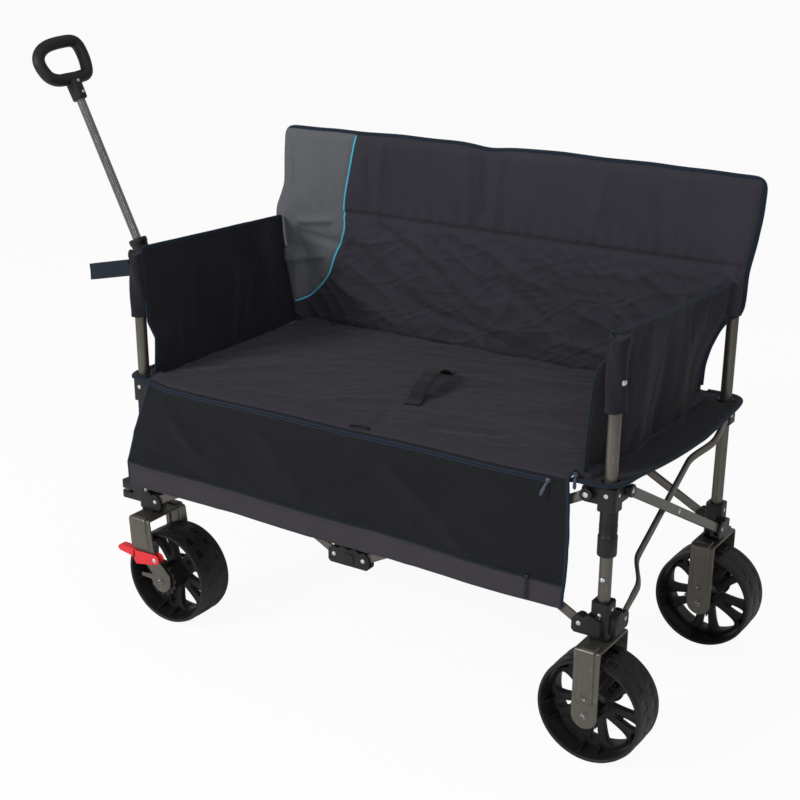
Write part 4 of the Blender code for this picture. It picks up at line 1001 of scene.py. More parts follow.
def ratchet_mesh():
    tooth = [(0.04, 0.0303), (0.36, 0.0303), (0.44, 0.031), (0.54, 0.0336), (0.6, 0.0341), (0.84, 0.0341),
             (0.9, 0.0336), (0.98, 0.031)]
    teeth = [(radius * math.cos(TAU * (k + share) / 14), radius * math.sin(TAU * (k + share) / 14))
             for k in range(14) for share, radius in tooth]
    drum = turned([(0.0145, -0.048), (0.024, -0.048), (0.026, -0.043), (0.0275, -0.04), (0.0275, 0.0),
                   (0.0145, 0.0)], 40, "Y")
    holes = [plate(arc(0.0042, 0, TAU, 13)[:-1], -0.06, -0.03) for _ in range(7)]
    for k, hole in enumerate(holes):
        a = TAU * k / 7
        hole.transform(Matrix.Translation((0.0225 * math.cos(a), 0, 0.0225 * math.sin(a))))
    return joined(bevelled(cut_out(plate(teeth, -0.0492, -0.0392), *holes), 0.0006, 1, 0.7), drum)


# how far each wheel stands turned, in degrees
WHEEL_TURNS = {"front_left": 12, "front_right": 40, "rear_left": 0, "rear_right": 0}


def dress_wheels():
    tyre = tyre_mesh()
    spokes = joined(web_mesh(), hub_mesh(), *rib_meshes())
    ring = ratchet_mesh()
    for end, side in CORNERS:
        corner = f"{end}_{side}"
        trail = TRAIL if end == "front" else 0.0
        turn = Matrix.Rotation(math.pi, 4, "Z") if side == "right" else Matrix()
        spin = Matrix.Rotation(math.radians(WHEEL_TURNS[corner]), 4, "Y")
        spot = at_corner(end, side) @ Matrix.Translation((trail, 0, AXLE_Z)) @ turn @ spin
        body = f"wheel_{corner}"
        piece(f"tyre_{corner}", moved(tyre, spot), WHEEL, body, [f"wheel_{corner}"], angle=50)
        piece(f"spokes_{corner}", moved(spokes, spot), WHEEL, body, angle=30)
        if end == "front":
            piece(f"brake_ring_{corner}", moved(ring, spot), WHEEL, body, angle=30)


FORK_HALF, FORK_PLATE, CROWN_TOP, FORK_END_R = 0.056, 0.003, 0.222, 0.024


def fork_edges(z, trail):
    """Front and back edges of a fork arm at height z. A caster's arm drops straight and then rakes back."""
    if trail:
        front = np.interp(z, [AXLE_Z, 0.11, 0.125, 0.158, 0.166, CROWN_TOP],
                          [trail - FORK_END_R, 0.0395, 0.0245, -0.0095, -0.0118, -0.015])
        back = np.interp(z, [AXLE_Z, 0.112, 0.134, 0.15, 0.16, CROWN_TOP],
                         [trail + FORK_END_R, 0.085, 0.0632, 0.05, 0.0465, 0.0385])
    else:
        front, back = np.full_like(z, -FORK_END_R), np.full_like(z, FORK_END_R)
    drop = np.clip(AXLE_Z - z, 0, FORK_END_R * 0.9999)
    low = np.sqrt(FORK_END_R**2 - drop**2)
    return np.where(z < AXLE_Z, trail - low, front), np.where(z < AXLE_Z, trail + low, back)


def fork_mesh(trail):
    """One pressed strip, bent down over the wheel on both sides, with a raised panel and a bead in each arm."""
    bend = 0.0065
    foot = AXLE_Z - FORK_END_R
    arm = np.concatenate([foot + FORK_END_R * (1 - np.cos(np.linspace(0, math.pi / 2, 14)[:-1])),
                          np.linspace(AXLE_Z, CROWN_TOP - bend, 110)])
    turn = np.linspace(0, math.pi / 2, 12)[1:]
    side = [(FORK_HALF, z, 1.0, 0.0) for z in arm]
    side += [(FORK_HALF - bend + bend * math.cos(a), CROWN_TOP - bend + bend * math.sin(a), math.cos(a), math.sin(a))
             for a in turn]
    crown = [(y, CROWN_TOP, 0.0, 1.0) for y in np.linspace(FORK_HALF - bend, -FORK_HALF + bend, 70)[1:-1]]
    stations = np.array([*side, *crown, *((-y, z, -ny, nz) for y, z, ny, nz in side[::-1])])
    y, z, ny, nz = (stations[:, k][:, None] for k in range(4))
    front, back = fork_edges(stations[:, 1], trail)
    t = np.linspace(0, 1, 49)
    t = (t + ease(t)) / 2
    x = front[:, None] * (1 - t) + back[:, None] * t
    inset = np.minimum(x - front[:, None], back[:, None] - x)
    low_end = AXLE_Z + (0.06 if trail else 0.026)
    on_arm = ease((z - (low_end - 0.4 * np.maximum(0, 0.012 - inset))) / 0.0025)
    raised = 0.0036 * ease((inset - 0.0085) / 0.0018) * on_arm * ease((FORK_HALF + 0.001 - np.abs(y) * nz**4) / 0.001)
    raised = raised * np.where(nz > 0.98, ease((np.abs(y) - 0.034) / 0.004), 1.0)
    # short beads down the panel's middle, and a dimple above the bolt
    middle = (front + back)[:, None] / 2
    bead = 0.001 * np.exp(-((((x - middle) - 0.006) / 0.0022) ** 2))
    bead = bead * ease((z - low_end - 0.01) / 0.004) * ease((0.205 - z) / 0.004)
    off = np.hypot((x - middle) / 0.005, (z - (AXLE_Z + 0.036)) / 0.004)
    dimple = -0.0024 * ease((1.25 - off) / 0.5) * (1.0 if not trail else 0.0)
    rolled = -0.0011 * (1 - ease(inset / 0.002))
    lift = raised + np.where(np.abs(ny) > 0.9, dimple + bead, 0) + rolled
    outer = np.stack([x, y + ny * lift, z + nz * lift], 2)
    inner = np.stack([x, y - ny * (FORK_PLATE - lift * 0.8), z - nz * (FORK_PLATE - lift * 0.8)], 2)
    run = np.concatenate([[0], np.cumsum(np.hypot(np.diff(stations[:, 0]), np.diff(stations[:, 1])))])[:, None]
    pin = turned([(0.0003, CROWN_TOP - 0.004), (0.0125, CROWN_TOP - 0.004), (0.0125, CROWN_TOP + 0.0008),
                  (0.0106, CROWN_TOP + 0.0014), (0.0106, 0.2452), (0.0003, 0.2452)], 32)
    bolt = [(0.0003, -FORK_HALF), (0.0048, -FORK_HALF), (0.0048, FORK_HALF), (0.0003, FORK_HALF)]
    axle = moved(turned(bolt, 20, "Y"), Matrix.Translation((trail, 0, AXLE_Z)))
    parts = [panel(outer, inner, np.stack([x, run + 0 * x], 2)), pin, axle]
    if trail:
        # the little stop that sticks out of each arm's front edge
        stop = [(0.012, 0.0975), (0.0118, 0.1035), (0.0135, 0.105), (0.042, 0.1075), (0.042, 0.096)]
        for s in (-1, 1):
            parts.append(plate(stop, *sorted((s * (FORK_HALF - 0.0004), s * (FORK_HALF - 0.0024)))))
    return joined(*parts)


LEVER_CHEEK = [
    (-0.0552, 0.0105), (-0.0558, -0.0045), (-0.054, -0.011), (-0.05, -0.018), (-0.047, -0.0188), (0.003, -0.0098),
    (0.008, -0.0078), (0.0112, -0.003), (0.0115, 0.003), (0.0085, 0.0085), (0.003, 0.0112),
]


LEVER_PEDAL = [
    (-0.096, 0.008), (-0.0955, 0.0045), (-0.092, 0.001), (-0.062, -0.004), (-0.053, -0.0075), (-0.0505, -0.006),
    (-0.0505, 0.01), (-0.056, 0.0118), (-0.066, 0.013), (-0.088, 0.014), (-0.0935, 0.0118),
]


def lever_mesh(side):
    """The brake's pedal and the two cheeks beside the fork's outer arm, about its pivot."""
    low, high = (v.y - side * POST_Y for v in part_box("brake_lever_front_" + ("left" if side < 0 else "right")))
    outer, inner = (low, high) if side < 0 else (high, low)
    sign = 1 if outer < inner else -1
    cheeks = [plate(LEVER_CHEEK, *sorted((a, a + b))) for a, b in ((outer, sign * 0.003), (inner, -sign * 0.003))]
    made = joined(plate(LEVER_PEDAL, *sorted((outer, inner))), *cheeks)
    return bevelled(made, 0.0009, 3, 0.6)


def dress_forks():
    for end, side in CORNERS:
        corner = f"{end}_{side}"
        body = f"caster_{corner}" if end == "front" else f"corner_{corner}"
        trail = TRAIL if end == "front" else 0.0
        strip = moved(fork_mesh(trail), at_corner(end, side))
        piece(f"fork_pressing_{corner}", strip, STEEL, body, [f"fork_{corner}"], angle=50)
        x, y = ENDS[end] * POST_X + trail, SIDES[side] * POST_Y
        nuts = []
        profile = [(0.0003, 0.0), (0.0062, 0.0), (0.0064, 0.0009), (0.0047, 0.0014), (0.0046, 0.004),
                   (0.0038, 0.0047), (0.0022, 0.005), (0.002, 0.0032), (0.0003, 0.003)]
        for s in (-1, 1):
            nut = turned([(r, s * h) for r, h in profile], 6 if s > 0 else 28, "Y")
            nuts.append(moved(nut, Matrix.Translation((x, y + s * (FORK_HALF + 0.0002), AXLE_Z))))
        piece(f"axle_ends_{corner}", joined(*nuts), BARE, body, angle=30)
    for side, ey in SIDES.items():
        corner = f"front_{side}"
        x, z = -POST_X + TRAIL - 0.0105, AXLE_Z + 0.0444
        lever = moved(lever_mesh(ey), Matrix.Translation((x, ey * POST_Y, z)))
        piece(f"brake_lever_{side}", lever, RED, f"brake_{side}", [f"brake_lever_{corner}"], angle=28)
        y = ey * (POST_Y + 0.0605)
        riveted(f"brake_pivot_{side}", f"brake_{side}", [((x, y, z), (0, ey, 0))], 0.0038, 0.002)


# Pull handle

HINGE_Z = 0.27


GRIP_LINE = [
    (0.0515, 0.884), (0.051, 0.86), (0.043, 0.8375), (0.02, 0.832), (-0.01, 0.8312), (-0.036, 0.8318),
    (-0.0555, 0.841), (-0.0655, 0.861), (-0.065, 0.88), (-0.052, 0.8955), (-0.028, 0.9055), (0.008, 0.9095),
    (0.036, 0.9085), (0.0475, 0.9),
]


def dress_handle():
    hinge_x = (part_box("handle_bracket")[0].x + 0.02) - MIDDLE_X
    hinge = Matrix.Translation((hinge_x, 0, HINGE_Z)) @ Matrix.Rotation(-LEAN, 4, "Y")
    refined("handle_bracket", NYLON, "deck", 0.0009)
    for side in SIDES:
        refined(f"handle_link_{side}", STEEL, f"handle_link_{side}", 0.0006)
    r = 0.0125
    outer = [(r, 0.012), (r, 0.4566), (r - 0.0008, 0.458), (r - 0.0015, 0.458), (r - 0.0015, 0.046), (0.0004, 0.046),
             (0.0004, -0.004), (r - 0.004, -0.004), (r - 0.0006, 0.004)]
    piece("handle_tube_outer", moved(turned(outer, 44), hinge), STEEL, "handle", ["handle_outer_tube"])
    collar = [(0.0127, 0.425), (0.015, 0.425), (0.0156, 0.426), (0.0166, 0.439), (0.0178, 0.463), (0.019, 0.465),
              (0.0195, 0.4662), (0.0195, 0.4735), (0.019, 0.4748), (0.018, 0.4755), (0.0096, 0.4755), (0.0096, 0.459),
              (0.0127, 0.459)]
    piece("locking_collar", moved(turned(collar, 48), hinge), NYLON, "handle", ["handle_collar"])
    loops, n = [], 96
    for z in (0.392, 0.6, 0.8149):
        ring = []
        for k in range(n):
            a = TAU * k / n
            flute = 0.0011 * max(0.0, math.cos(8 * a)) ** 3
            ring.append(((0.0093 - flute) * math.cos(a), (0.0093 - flute) * math.sin(a), z))
        loops.append(ring)
    piece("handle_tube_inner", moved(rings(loops), hinge), BARE, "handle_top", ["handle_inner_tube"],
          angle=60)
    path = [(0.0, a, z) for a, z in smooth_path(GRIP_LINE, 7, closed=True)]
    section = [(0.0128 * math.cos(a), 0.013 * math.sin(a)) for a in TAU * (np.arange(20) + 0.5) / 20]
    grip = swept(path, section, [(1, 0, 0)] * len(path), closed=True)
    stem = [(0.785, 0.0125, 0.0145), (0.787, 0.0135, 0.0155), (0.8, 0.0138, 0.0158), (0.815, 0.015, 0.015),
            (0.826, 0.017, 0.0135), (0.832, 0.0185, 0.011)]
    stem = rings([[(b, a, z) for a, b in oval(2 * across, 2 * deep, 28)] for z, across, deep in stem])
    turn = hinge @ Matrix.Rotation(math.radians(-5), 4, "Z")
    piece("handle_loop_grip", moved(joined(grip, stem), turn), GRIP, "handle_top", ["handle_grip"],
          angle=50)
    flip = turn.to_3x3()
    spots = [(turn @ Vector((s * proud, 0.002, z)), flip @ Vector((s, 0, 0)))
             for z, proud in ((0.797, 0.0157), (0.822, 0.0142)) for s in (-1, 1)]
    riveted("grip_rivets", "handle_top", spots, 0.0026, 0.0013)
    spots = [(Vector((hinge_x, s * 0.0422, HINGE_Z)), Vector((0, s, 0))) for s in (-1, 1)]
    riveted("hinge_rivets", "deck", spots, 0.0046, 0.0022)


# Fabric

SEAT_X, SEAT_FRONT, SEAT_BACK, SEAT_LOW = 0.467, 0.252, 0.234, 0.5019
STRAP_NEAR, STRAP_FAR = -0.133, 0.072
SEAT_FOLDS = [
    ((0.155, -0.205), (0.255, -0.185), 0.01, -0.003), ((0.165, -0.19), (0.245, -0.172), 0.007, 0.0016),
    ((0.02, -0.165), (0.05, -0.235), 0.01, -0.0022), ((-0.02, -0.15), (-0.12, -0.225), 0.012, 0.0018),
    ((-0.4, -0.2), (-0.3, -0.1), 0.014, 0.002), ((-0.33, 0.05), (-0.18, 0.02), 0.012, -0.0018),
    ((0.16, 0.1), (0.3, 0.13), 0.013, 0.002), ((0.31, -0.06), (0.42, -0.1), 0.012, -0.002),
    ((0.05, -0.05), (0.13, 0.03), 0.012, -0.0018), ((-0.1, 0.14), (0.06, 0.16), 0.012, 0.0018),
    ((-0.44, -0.1), (-0.36, -0.02), 0.01, 0.0018), ((0.36, 0.06), (0.44, 0.12), 0.011, 0.002),
]


def seat_height(x, y):
    """The seat's upper surface, with its crown, slack wrinkles and the dents left by sitting and folding."""
    u, v = (x + SEAT_X) / (2 * SEAT_X), (y + SEAT_FRONT) / (SEAT_FRONT + SEAT_BACK)
    rise = np.maximum(rim_rise(u, v, 0.014, 0.03), rim_rise(u, 0.5 * v, 0.014, 0.03) * ease(2 * v - 1))
    crown = np.clip(16 * u * (1 - u) * v * (1 - v), 0, None) ** 0.35
    z = SEAT_LOW + 0.0016 + 0.008 * rise + 0.0085 * crown
    slack = 0.35 + 0.65 * np.clip(1 - crown, 0, 1)
    z = z + rise * 0.002 * value_noise(x * 9, y * 14, 5)
    z = z + rise * (0.0008 + slack * 0.0022) * creased(x, y, 11, 0.045, 0.35, 3.0)
    z = z + rise * 0.0014 * creased(x, y, 17, 0.03, -0.5, 3.5)
    return folded(z, rise, x, y, SEAT_FOLDS, 1.5)


def dress_seat():
    u, v = np.meshgrid(np.linspace(0, 1, 187), np.linspace(0, 1, 97))
    # rows and columns crowd towards the rim, so that its shoulder is round
    u, v = (u + ease(u)) / 2, (v + ease(v)) / 2
    x, y = (2 * u - 1) * SEAT_X, -SEAT_FRONT + v * (SEAT_FRONT + SEAT_BACK)
    # a flat tongue runs on below the backrest's low edge, and stops short of the ledges
    tongue = np.linspace(0.002, 0.016, 6)[:, None] * (1 - 0.94 * ease((np.abs(x[:1]) - 0.4) / 0.03))
    x, y = np.concatenate([x, np.tile(x[:1], (6, 1))]), np.concatenate([y, SEAT_BACK + tongue])
    z = np.where(y > SEAT_BACK + 0.0001, SEAT_LOW + 0.0016, seat_height(x, np.minimum(y, SEAT_BACK)))
    top = np.stack([x, y, z], 2)
    under = np.stack([x, y, np.full_like(x, SEAT_LOW + 0.0004)], 2)
    seat = piece("seat_cushion", panel(top, under, np.stack([x, y], 2)), CLOTH, "deck", ["seat_pad"],
                 angle=70, fold="X")
    inset = 0.014
    left, right, near, far = inset - SEAT_X, SEAT_X - inset, inset - SEAT_FRONT, SEAT_BACK - inset
    xs, ys = np.linspace(left, right, 120), np.linspace(near, far, 70)
    lines = []
    for a, b in ((xs, np.full_like(xs, near)), (xs, np.full_like(xs, far)),
                 (np.full_like(ys, left), ys), (np.full_like(ys, right), ys)):
        lines.append(all_facing(np.stack([a, b, seat_height(a, b) + 0.0001], 1), (0, 0, 1.0)))
    piece("seat_stitches", stitched(lines), CLOTH, "deck", fold="X")
    dress_seat_strap()


def dress_seat_strap():
    t = np.linspace(0, 1, 60)
    y = STRAP_NEAR - 0.013 + t * (STRAP_FAR - STRAP_NEAR)
    x = 0.052 - 0.0445 * t
    base = seat_height(x, y)
    arch = 0.026 * np.maximum(0, np.sin(np.pi * np.clip((t - 0.1) / 0.8, 0, 1))) ** 0.8
    path = np.stack([x, y, base + arch + 0.002], 1)
    tangent = np.gradient(path, axis=0)
    normals = np.cross(np.array([1.0, 0.2, 0.0]), tangent)
    band = swept(path, oval(0.03, 0.0026, 16, 5), normals)
    piece("seat_pull_strap", band, STRAP, "deck", ["seat_strap"], angle=50, fold="X")
    lines = []
    for side in (-0.0115, 0.0115):
        line = path + np.array([side, 0.0, 0.0]) + normals / np.linalg.norm(normals, axis=1)[:, None] * 0.0014
        lines.append((line, normals))
    for at in (0.02, 0.09, 0.91, 0.98):
        k = int(at * (len(t) - 1))
        ends = np.linspace(-0.012, 0.012, 8)
        line = path[k] + np.stack([ends, 0 * ends, 0 * ends + 0.0016], 1)
        lines.append(all_facing(line, (0, 0, 1.0)))
    stitches = stitched(lines, HEM, 0.0034, 0.0025)
    piece("seat_strap_stitches", stitches, HEM, "deck", fold="X")


BACK_LOW, BACK_TOP, BACK_SEAM = 0.506, 0.922, 0.757
CHANNEL_LOW = 0.655
LEFT_EDGE = [
    (0.5, 0.48), (0.54, 0.492), (0.6, 0.503), (0.65, 0.514), (0.7, 0.538), (0.735, 0.544), (0.76, 0.541),
    (0.78, 0.53), (0.81, 0.519), (0.86, 0.516), (0.93, 0.513),
]
RIGHT_EDGE = [
    (0.5, 0.447), (0.56, 0.449), (0.597, 0.458), (0.64, 0.48), (0.66, 0.492), (0.672, 0.5135), (0.7, 0.5165),
    (0.75, 0.5175), (0.805, 0.528), (0.86, 0.535), (0.93, 0.538),
]
PIPING = [
    (-0.33, 0.922), (-0.345, 0.85), (-0.3585, 0.775), (-0.3595, 0.718), (-0.3865, 0.654), (-0.4056, 0.611),
    (-0.4516, 0.564), (-0.5036, 0.542),
]


def back_outline(z):
    return -np.interp(z, *zip(*LEFT_EDGE)), np.interp(z, *zip(*RIGHT_EDGE))


def piping_x(z):
    """Where the piping crosses the backrest at height z."""
    return np.interp(z, *zip(*[(b, a) for a, b in PIPING[::-1]]))


def back_top(x, corner=0.011):
    """The top edge, with round corners and a shallow dip where the cloth is tacked to the rear tube."""
    top = BACK_TOP - 0.007 * np.exp(-(((x + 0.02) / 0.04) ** 2)) - 0.004 * (x / 0.5) ** 2
    top = top + 0.0014 * value_noise(x * 11, 0 * x, 87)
    near = np.clip(corner - np.minimum(x + 0.5135, 0.5375 - x), 0, corner)
    return top - corner + np.sqrt(corner**2 - near**2)


BACK_FOLDS = [
    ((-0.272, 0.775), (-0.262, 0.905), 0.01, 0.0035), ((-0.29, 0.77), (-0.3, 0.86), 0.008, -0.003),
    ((-0.02, 0.8), (-0.024, 0.91), 0.01, -0.005), ((0.004, 0.78), (0.012, 0.905), 0.012, 0.0035),
    ((-0.052, 0.79), (-0.06, 0.905), 0.012, 0.003), ((0.22, 0.785), (0.23, 0.88), 0.014, 0.0025),
    ((0.36, 0.78), (0.345, 0.86), 0.012, -0.0025), ((-0.47, 0.725), (-0.4, 0.735), 0.008, 0.005),
    ((-0.5, 0.7), (-0.38, 0.69), 0.01, -0.004), ((-0.5, 0.64), (-0.42, 0.655), 0.009, 0.004),
    ((-0.31, 0.72), (-0.2, 0.62), 0.012, 0.0045), ((-0.26, 0.735), (-0.12, 0.66), 0.01, -0.004),
    ((-0.18, 0.72), (-0.02, 0.6), 0.013, 0.0045), ((-0.05, 0.74), (0.1, 0.67), 0.011, 0.004),
    ((0.02, 0.66), (0.16, 0.58), 0.012, -0.004), ((0.12, 0.735), (0.22, 0.62), 0.013, 0.0045),
    ((0.26, 0.74), (0.34, 0.6), 0.012, -0.004), ((0.33, 0.72), (0.44, 0.66), 0.011, 0.004),
    ((-0.36, 0.6), (-0.24, 0.54), 0.011, 0.004), ((-0.16, 0.58), (0.02, 0.545), 0.011, -0.0035),
    ((0.18, 0.56), (0.36, 0.54), 0.011, 0.004), ((0.36, 0.62), (0.46, 0.56), 0.012, 0.004),
]


def back_face(x, z, sign):
    """How far the pad's face stands from the plane of the posts."""
    left, right = back_outline(z)
    u = (x - left) / (right - left)
    v = (z - BACK_LOW) / (back_top(x, 0.0001) - BACK_LOW)
    shoulder = rim_rise(u, v, 0.018, 0.045)
    middle = np.sin(np.pi * np.clip(u, 0, 1)) ** 0.5 * np.clip(4 * v * (1 - v), 0, 1) ** 0.4
    out = 0.0035 + 0.0105 * shoulder + 0.006 * middle
    if sign > 0:
        return out + shoulder * 0.0012 * creased(x, z, 31, 0.05, -0.4)
    seam = np.exp(-(((z - BACK_SEAM) / 0.006) ** 2)) * (x > piping_x(z))
    edge = np.exp(-(((x - piping_x(z)) / 0.007) ** 2))
    below = ease((BACK_SEAM - z) / 0.03) * ease((x - piping_x(z)) / 0.02)
    wrinkles = (0.001 + 0.0034 * below) * creased(x, z, 41, 0.05, -0.75, 4.0)
    wrinkles = wrinkles + 0.0022 * below * creased(x, z, 47, 0.03, 0.35, 3.5)
    wrinkles = wrinkles + 0.0048 * below * creased(x, z, 53, 0.085, -0.95, 3.0)
    wrinkles = wrinkles + 0.0012 * below * creased(x, z, 59, 0.018, -0.5, 4.0)
    gather = ease((z - BACK_SEAM) / 0.01) * np.exp(-((z - BACK_SEAM) / 0.05) ** 2) * 0.0012
    gather = gather * np.sin(x * 190 + 2 * value_noise(x * 8, z * 8, 3))
    out = out + shoulder * (wrinkles + gather + (1 - below) * 0.0024 * value_noise(x * 16, z * 4, 91))
    out = folded(out, shoulder, x, z, BACK_FOLDS, 1.5)
    # the deepest folds stop where the front post stands in its channel
    channel = 0.015 * np.exp(-(((x + POST_X) / 0.018) ** 4)) * ease((z - CHANNEL_LOW) / 0.015)
    least = 0.002 + channel * ease((BACK_TOP - 0.03 - z) / 0.03)
    return np.maximum(out - 0.005 * seam * shoulder - 0.0042 * edge * shoulder, least)


def back_middle(x, z):
    """Where the pad's middle stands: it passes in front of the bare posts below their channels."""
    return POST_Y - 0.0165 * ease((np.abs(x) - 0.455) / 0.025) * (1 - ease((z - CHANNEL_LOW) / 0.015))


def even_path(points, count):
    """The same line with its points evenly spread."""
    run = np.concatenate([[0], np.cumsum(np.linalg.norm(np.diff(points, axis=0), axis=1))])
    return np.stack([np.interp(np.linspace(0, run[-1], count), run, points[:, k]) for k in range(3)], 1)


def on_back(name, mesh, finish, stands_for=(), angle=40):
    """A piece of the backrest."""
    return piece(name, mesh, finish, "centre_right", stands_for, angle, "X")


def dress_backrest():
    u, v = np.meshgrid(np.linspace(0, 1, 321), np.linspace(0, 1, 161))
    u, v = (u + ease(u)) / 2, (v + ease(v)) / 2
    z = BACK_LOW + v * (BACK_TOP - BACK_LOW)
    left, right = back_outline(z)
    x = left + u * (right - left)
    z = BACK_LOW + v * (back_top(x) - BACK_LOW)
    front = np.stack([x, back_middle(x, z) - back_face(x, z, -1), z], 2)
    rear = np.stack([x, back_middle(x, z) + back_face(x, z, 1), z], 2)
    pad = panel(front, rear, np.stack([x, z], 2), {"grey_side": piping_x(z) - x})
    back = on_back("backrest_pad", pad, BACK_CLOTH, ["backrest"], angle=70)
    line = smooth_path(PIPING, 12)

    def on_face(x, z, proud=0.0002):
        return np.stack([x, back_middle(x, z) - back_face(x, z, -1) - proud, z], 1)

    # it ends at the end wall
    inside = (line[:, 1] < BACK_TOP - 0.004) & (line[:, 0] > -0.484)
    path = on_face(line[inside, 0], line[inside, 1], 0.0006)
    cord = taped(path, 0.0038, 0.0038, (0, -1.0, 0), 10, 2)
    on_back("backrest_piping", cord, CYAN)
    # the rolled binding up one side, over the top and down the other
    middle = (front + rear) / 2
    low = int(np.argmax(z[:, 0] > 0.52))
    rim = even_path(np.concatenate([middle[low:, 0], middle[-1, 1:-1], middle[low:, -1][::-1]]), 320)
    for _ in range(4):
        rim[1:-1] = (rim[:-2] + 2 * rim[1:-1] + rim[2:]) / 4
    tape = taped(rim, 0.0115, 0.01, (0, -1.0, 0), 14, 2.3)
    on_back("backrest_binding", tape, NAVY)
    # the seam across the back, and a row beside the piping
    xs = np.linspace(-0.35, 0.505, 200)
    zs = np.full_like(xs, BACK_SEAM)
    rows = [on_face(xs, zs + lift) for lift in (-0.0055, 0.0055)]
    beside = line[inside] + np.array([0.006, 0.0])
    rows.append(on_face(beside[:, 0], beside[:, 1]))
    lines = stitched([all_facing(row, (0, -1.0, 0)) for row in rows])
    on_back("backrest_stitches", lines, CLOTH)
    # channels that the high posts stand in
    for end, s in ENDS.items():
        loops = []
        for h in np.linspace(0.666, 0.775, 22):
            shrink = 1 - 0.25 * ease((h - 0.745) / 0.03)
            pull = 0.0012 * math.sin(h * 90 + s)
            loops.append([(s * POST_X + (0.016 + pull * math.cos(2 * a)) * shrink * math.cos(a),
                           POST_Y + 0.0158 * shrink * math.sin(a), h) for a in TAU * np.arange(28) / 28])
        on_back(f"post_channel_{end}", rings(loops), CLOTH, angle=60)


# (height, distance from the middle) up each wall: beside the open side's post, half way, and at the backrest
WALL_SHAPE = {
    "front": ([(0.503, 0.47), (0.556, 0.465), (0.587, 0.463), (0.615, 0.48), (0.661, 0.484), (0.745, 0.485)],
              [(0.503, 0.476), (0.745, 0.485)],
              [(0.503, 0.486), (0.549, 0.4915), (0.583, 0.4995), (0.64, 0.508), (0.696, 0.5185), (0.745, 0.5205)]),
    "rear": ([(0.503, 0.452), (0.588, 0.455), (0.671, 0.461), (0.694, 0.468), (0.707, 0.48), (0.745, 0.485)],
             [(0.503, 0.478), (0.745, 0.485)],
             [(0.517, 0.451), (0.567, 0.4546), (0.604, 0.464), (0.666, 0.492), (0.72, 0.499)]),
}
WALL_TOP_LINE = {
    "front": [(-0.26, 0.7595), (-0.08, 0.7528), (0.06, 0.7475), (0.1, 0.7452), (0.13, 0.7418), (0.16, 0.7378),
              (0.19, 0.7338), (0.21, 0.7318), (0.235, 0.73)],
    "rear": [(-0.27, 0.7525), (-0.178, 0.744), (-0.006, 0.731), (0.12, 0.7255), (0.24, 0.7295)],
}
WALL_FOLDS = [
    ((-0.19, 0.56), (-0.16, 0.72), 0.024, 0.0035), ((-0.1, 0.56), (-0.09, 0.7), 0.024, -0.004),
    ((-0.02, 0.54), (0.00, 0.66), 0.022, 0.0035), ((0.07, 0.57), (0.1, 0.66), 0.022, -0.004),
    ((0.14, 0.54), (0.17, 0.68), 0.02, 0.0045),
]


def wall_spot(u, v, name):
    """An end wall's middle surface. u runs from the open side to the backrest, v from the ledge up."""
    ex = ENDS[name]
    near, middle, far = (list(zip(*line)) for line in WALL_SHAPE[name])
    y = -0.249 + u * (0.2305 + 0.249)
    top = np.interp(y, *zip(*WALL_TOP_LINE[name]))
    low = 0.5045 + 0.009 * (1 - ease(u / 0.2))
    z = low + v * (top - low)
    y = y - (ex < 0) * 0.005 * ease((u - 0.7) / 0.3) * ease((z - 0.615) / 0.05)
    share_near, share_far = 1 - ease(u / 0.24), ease((u - 0.68) / 0.32)
    x = np.interp(z, *middle)
    x = x + (np.interp(z, *near) - x) * share_near + (np.interp(z, *far) - x) * share_far
    loose = np.sin(math.pi * np.clip(u, 0, 1)) ** 0.6 * (1 - 0.7 * v**4) * (1 - ease((u - 0.62) / 0.26) * (ex < 0))
    billow = 0.0024 * creased(y, z, 61 + ex, 0.075, 1.2, 3.0) + 0.005 * value_noise(y * 8, z * 7, 63 + ex)
    billow = folded(billow, 1, y, z, WALL_FOLDS, 2.2 if ex < 0 else 1.3)
    return np.stack([ex * (x - loose * (billow + 0.002)), y, z], -1)


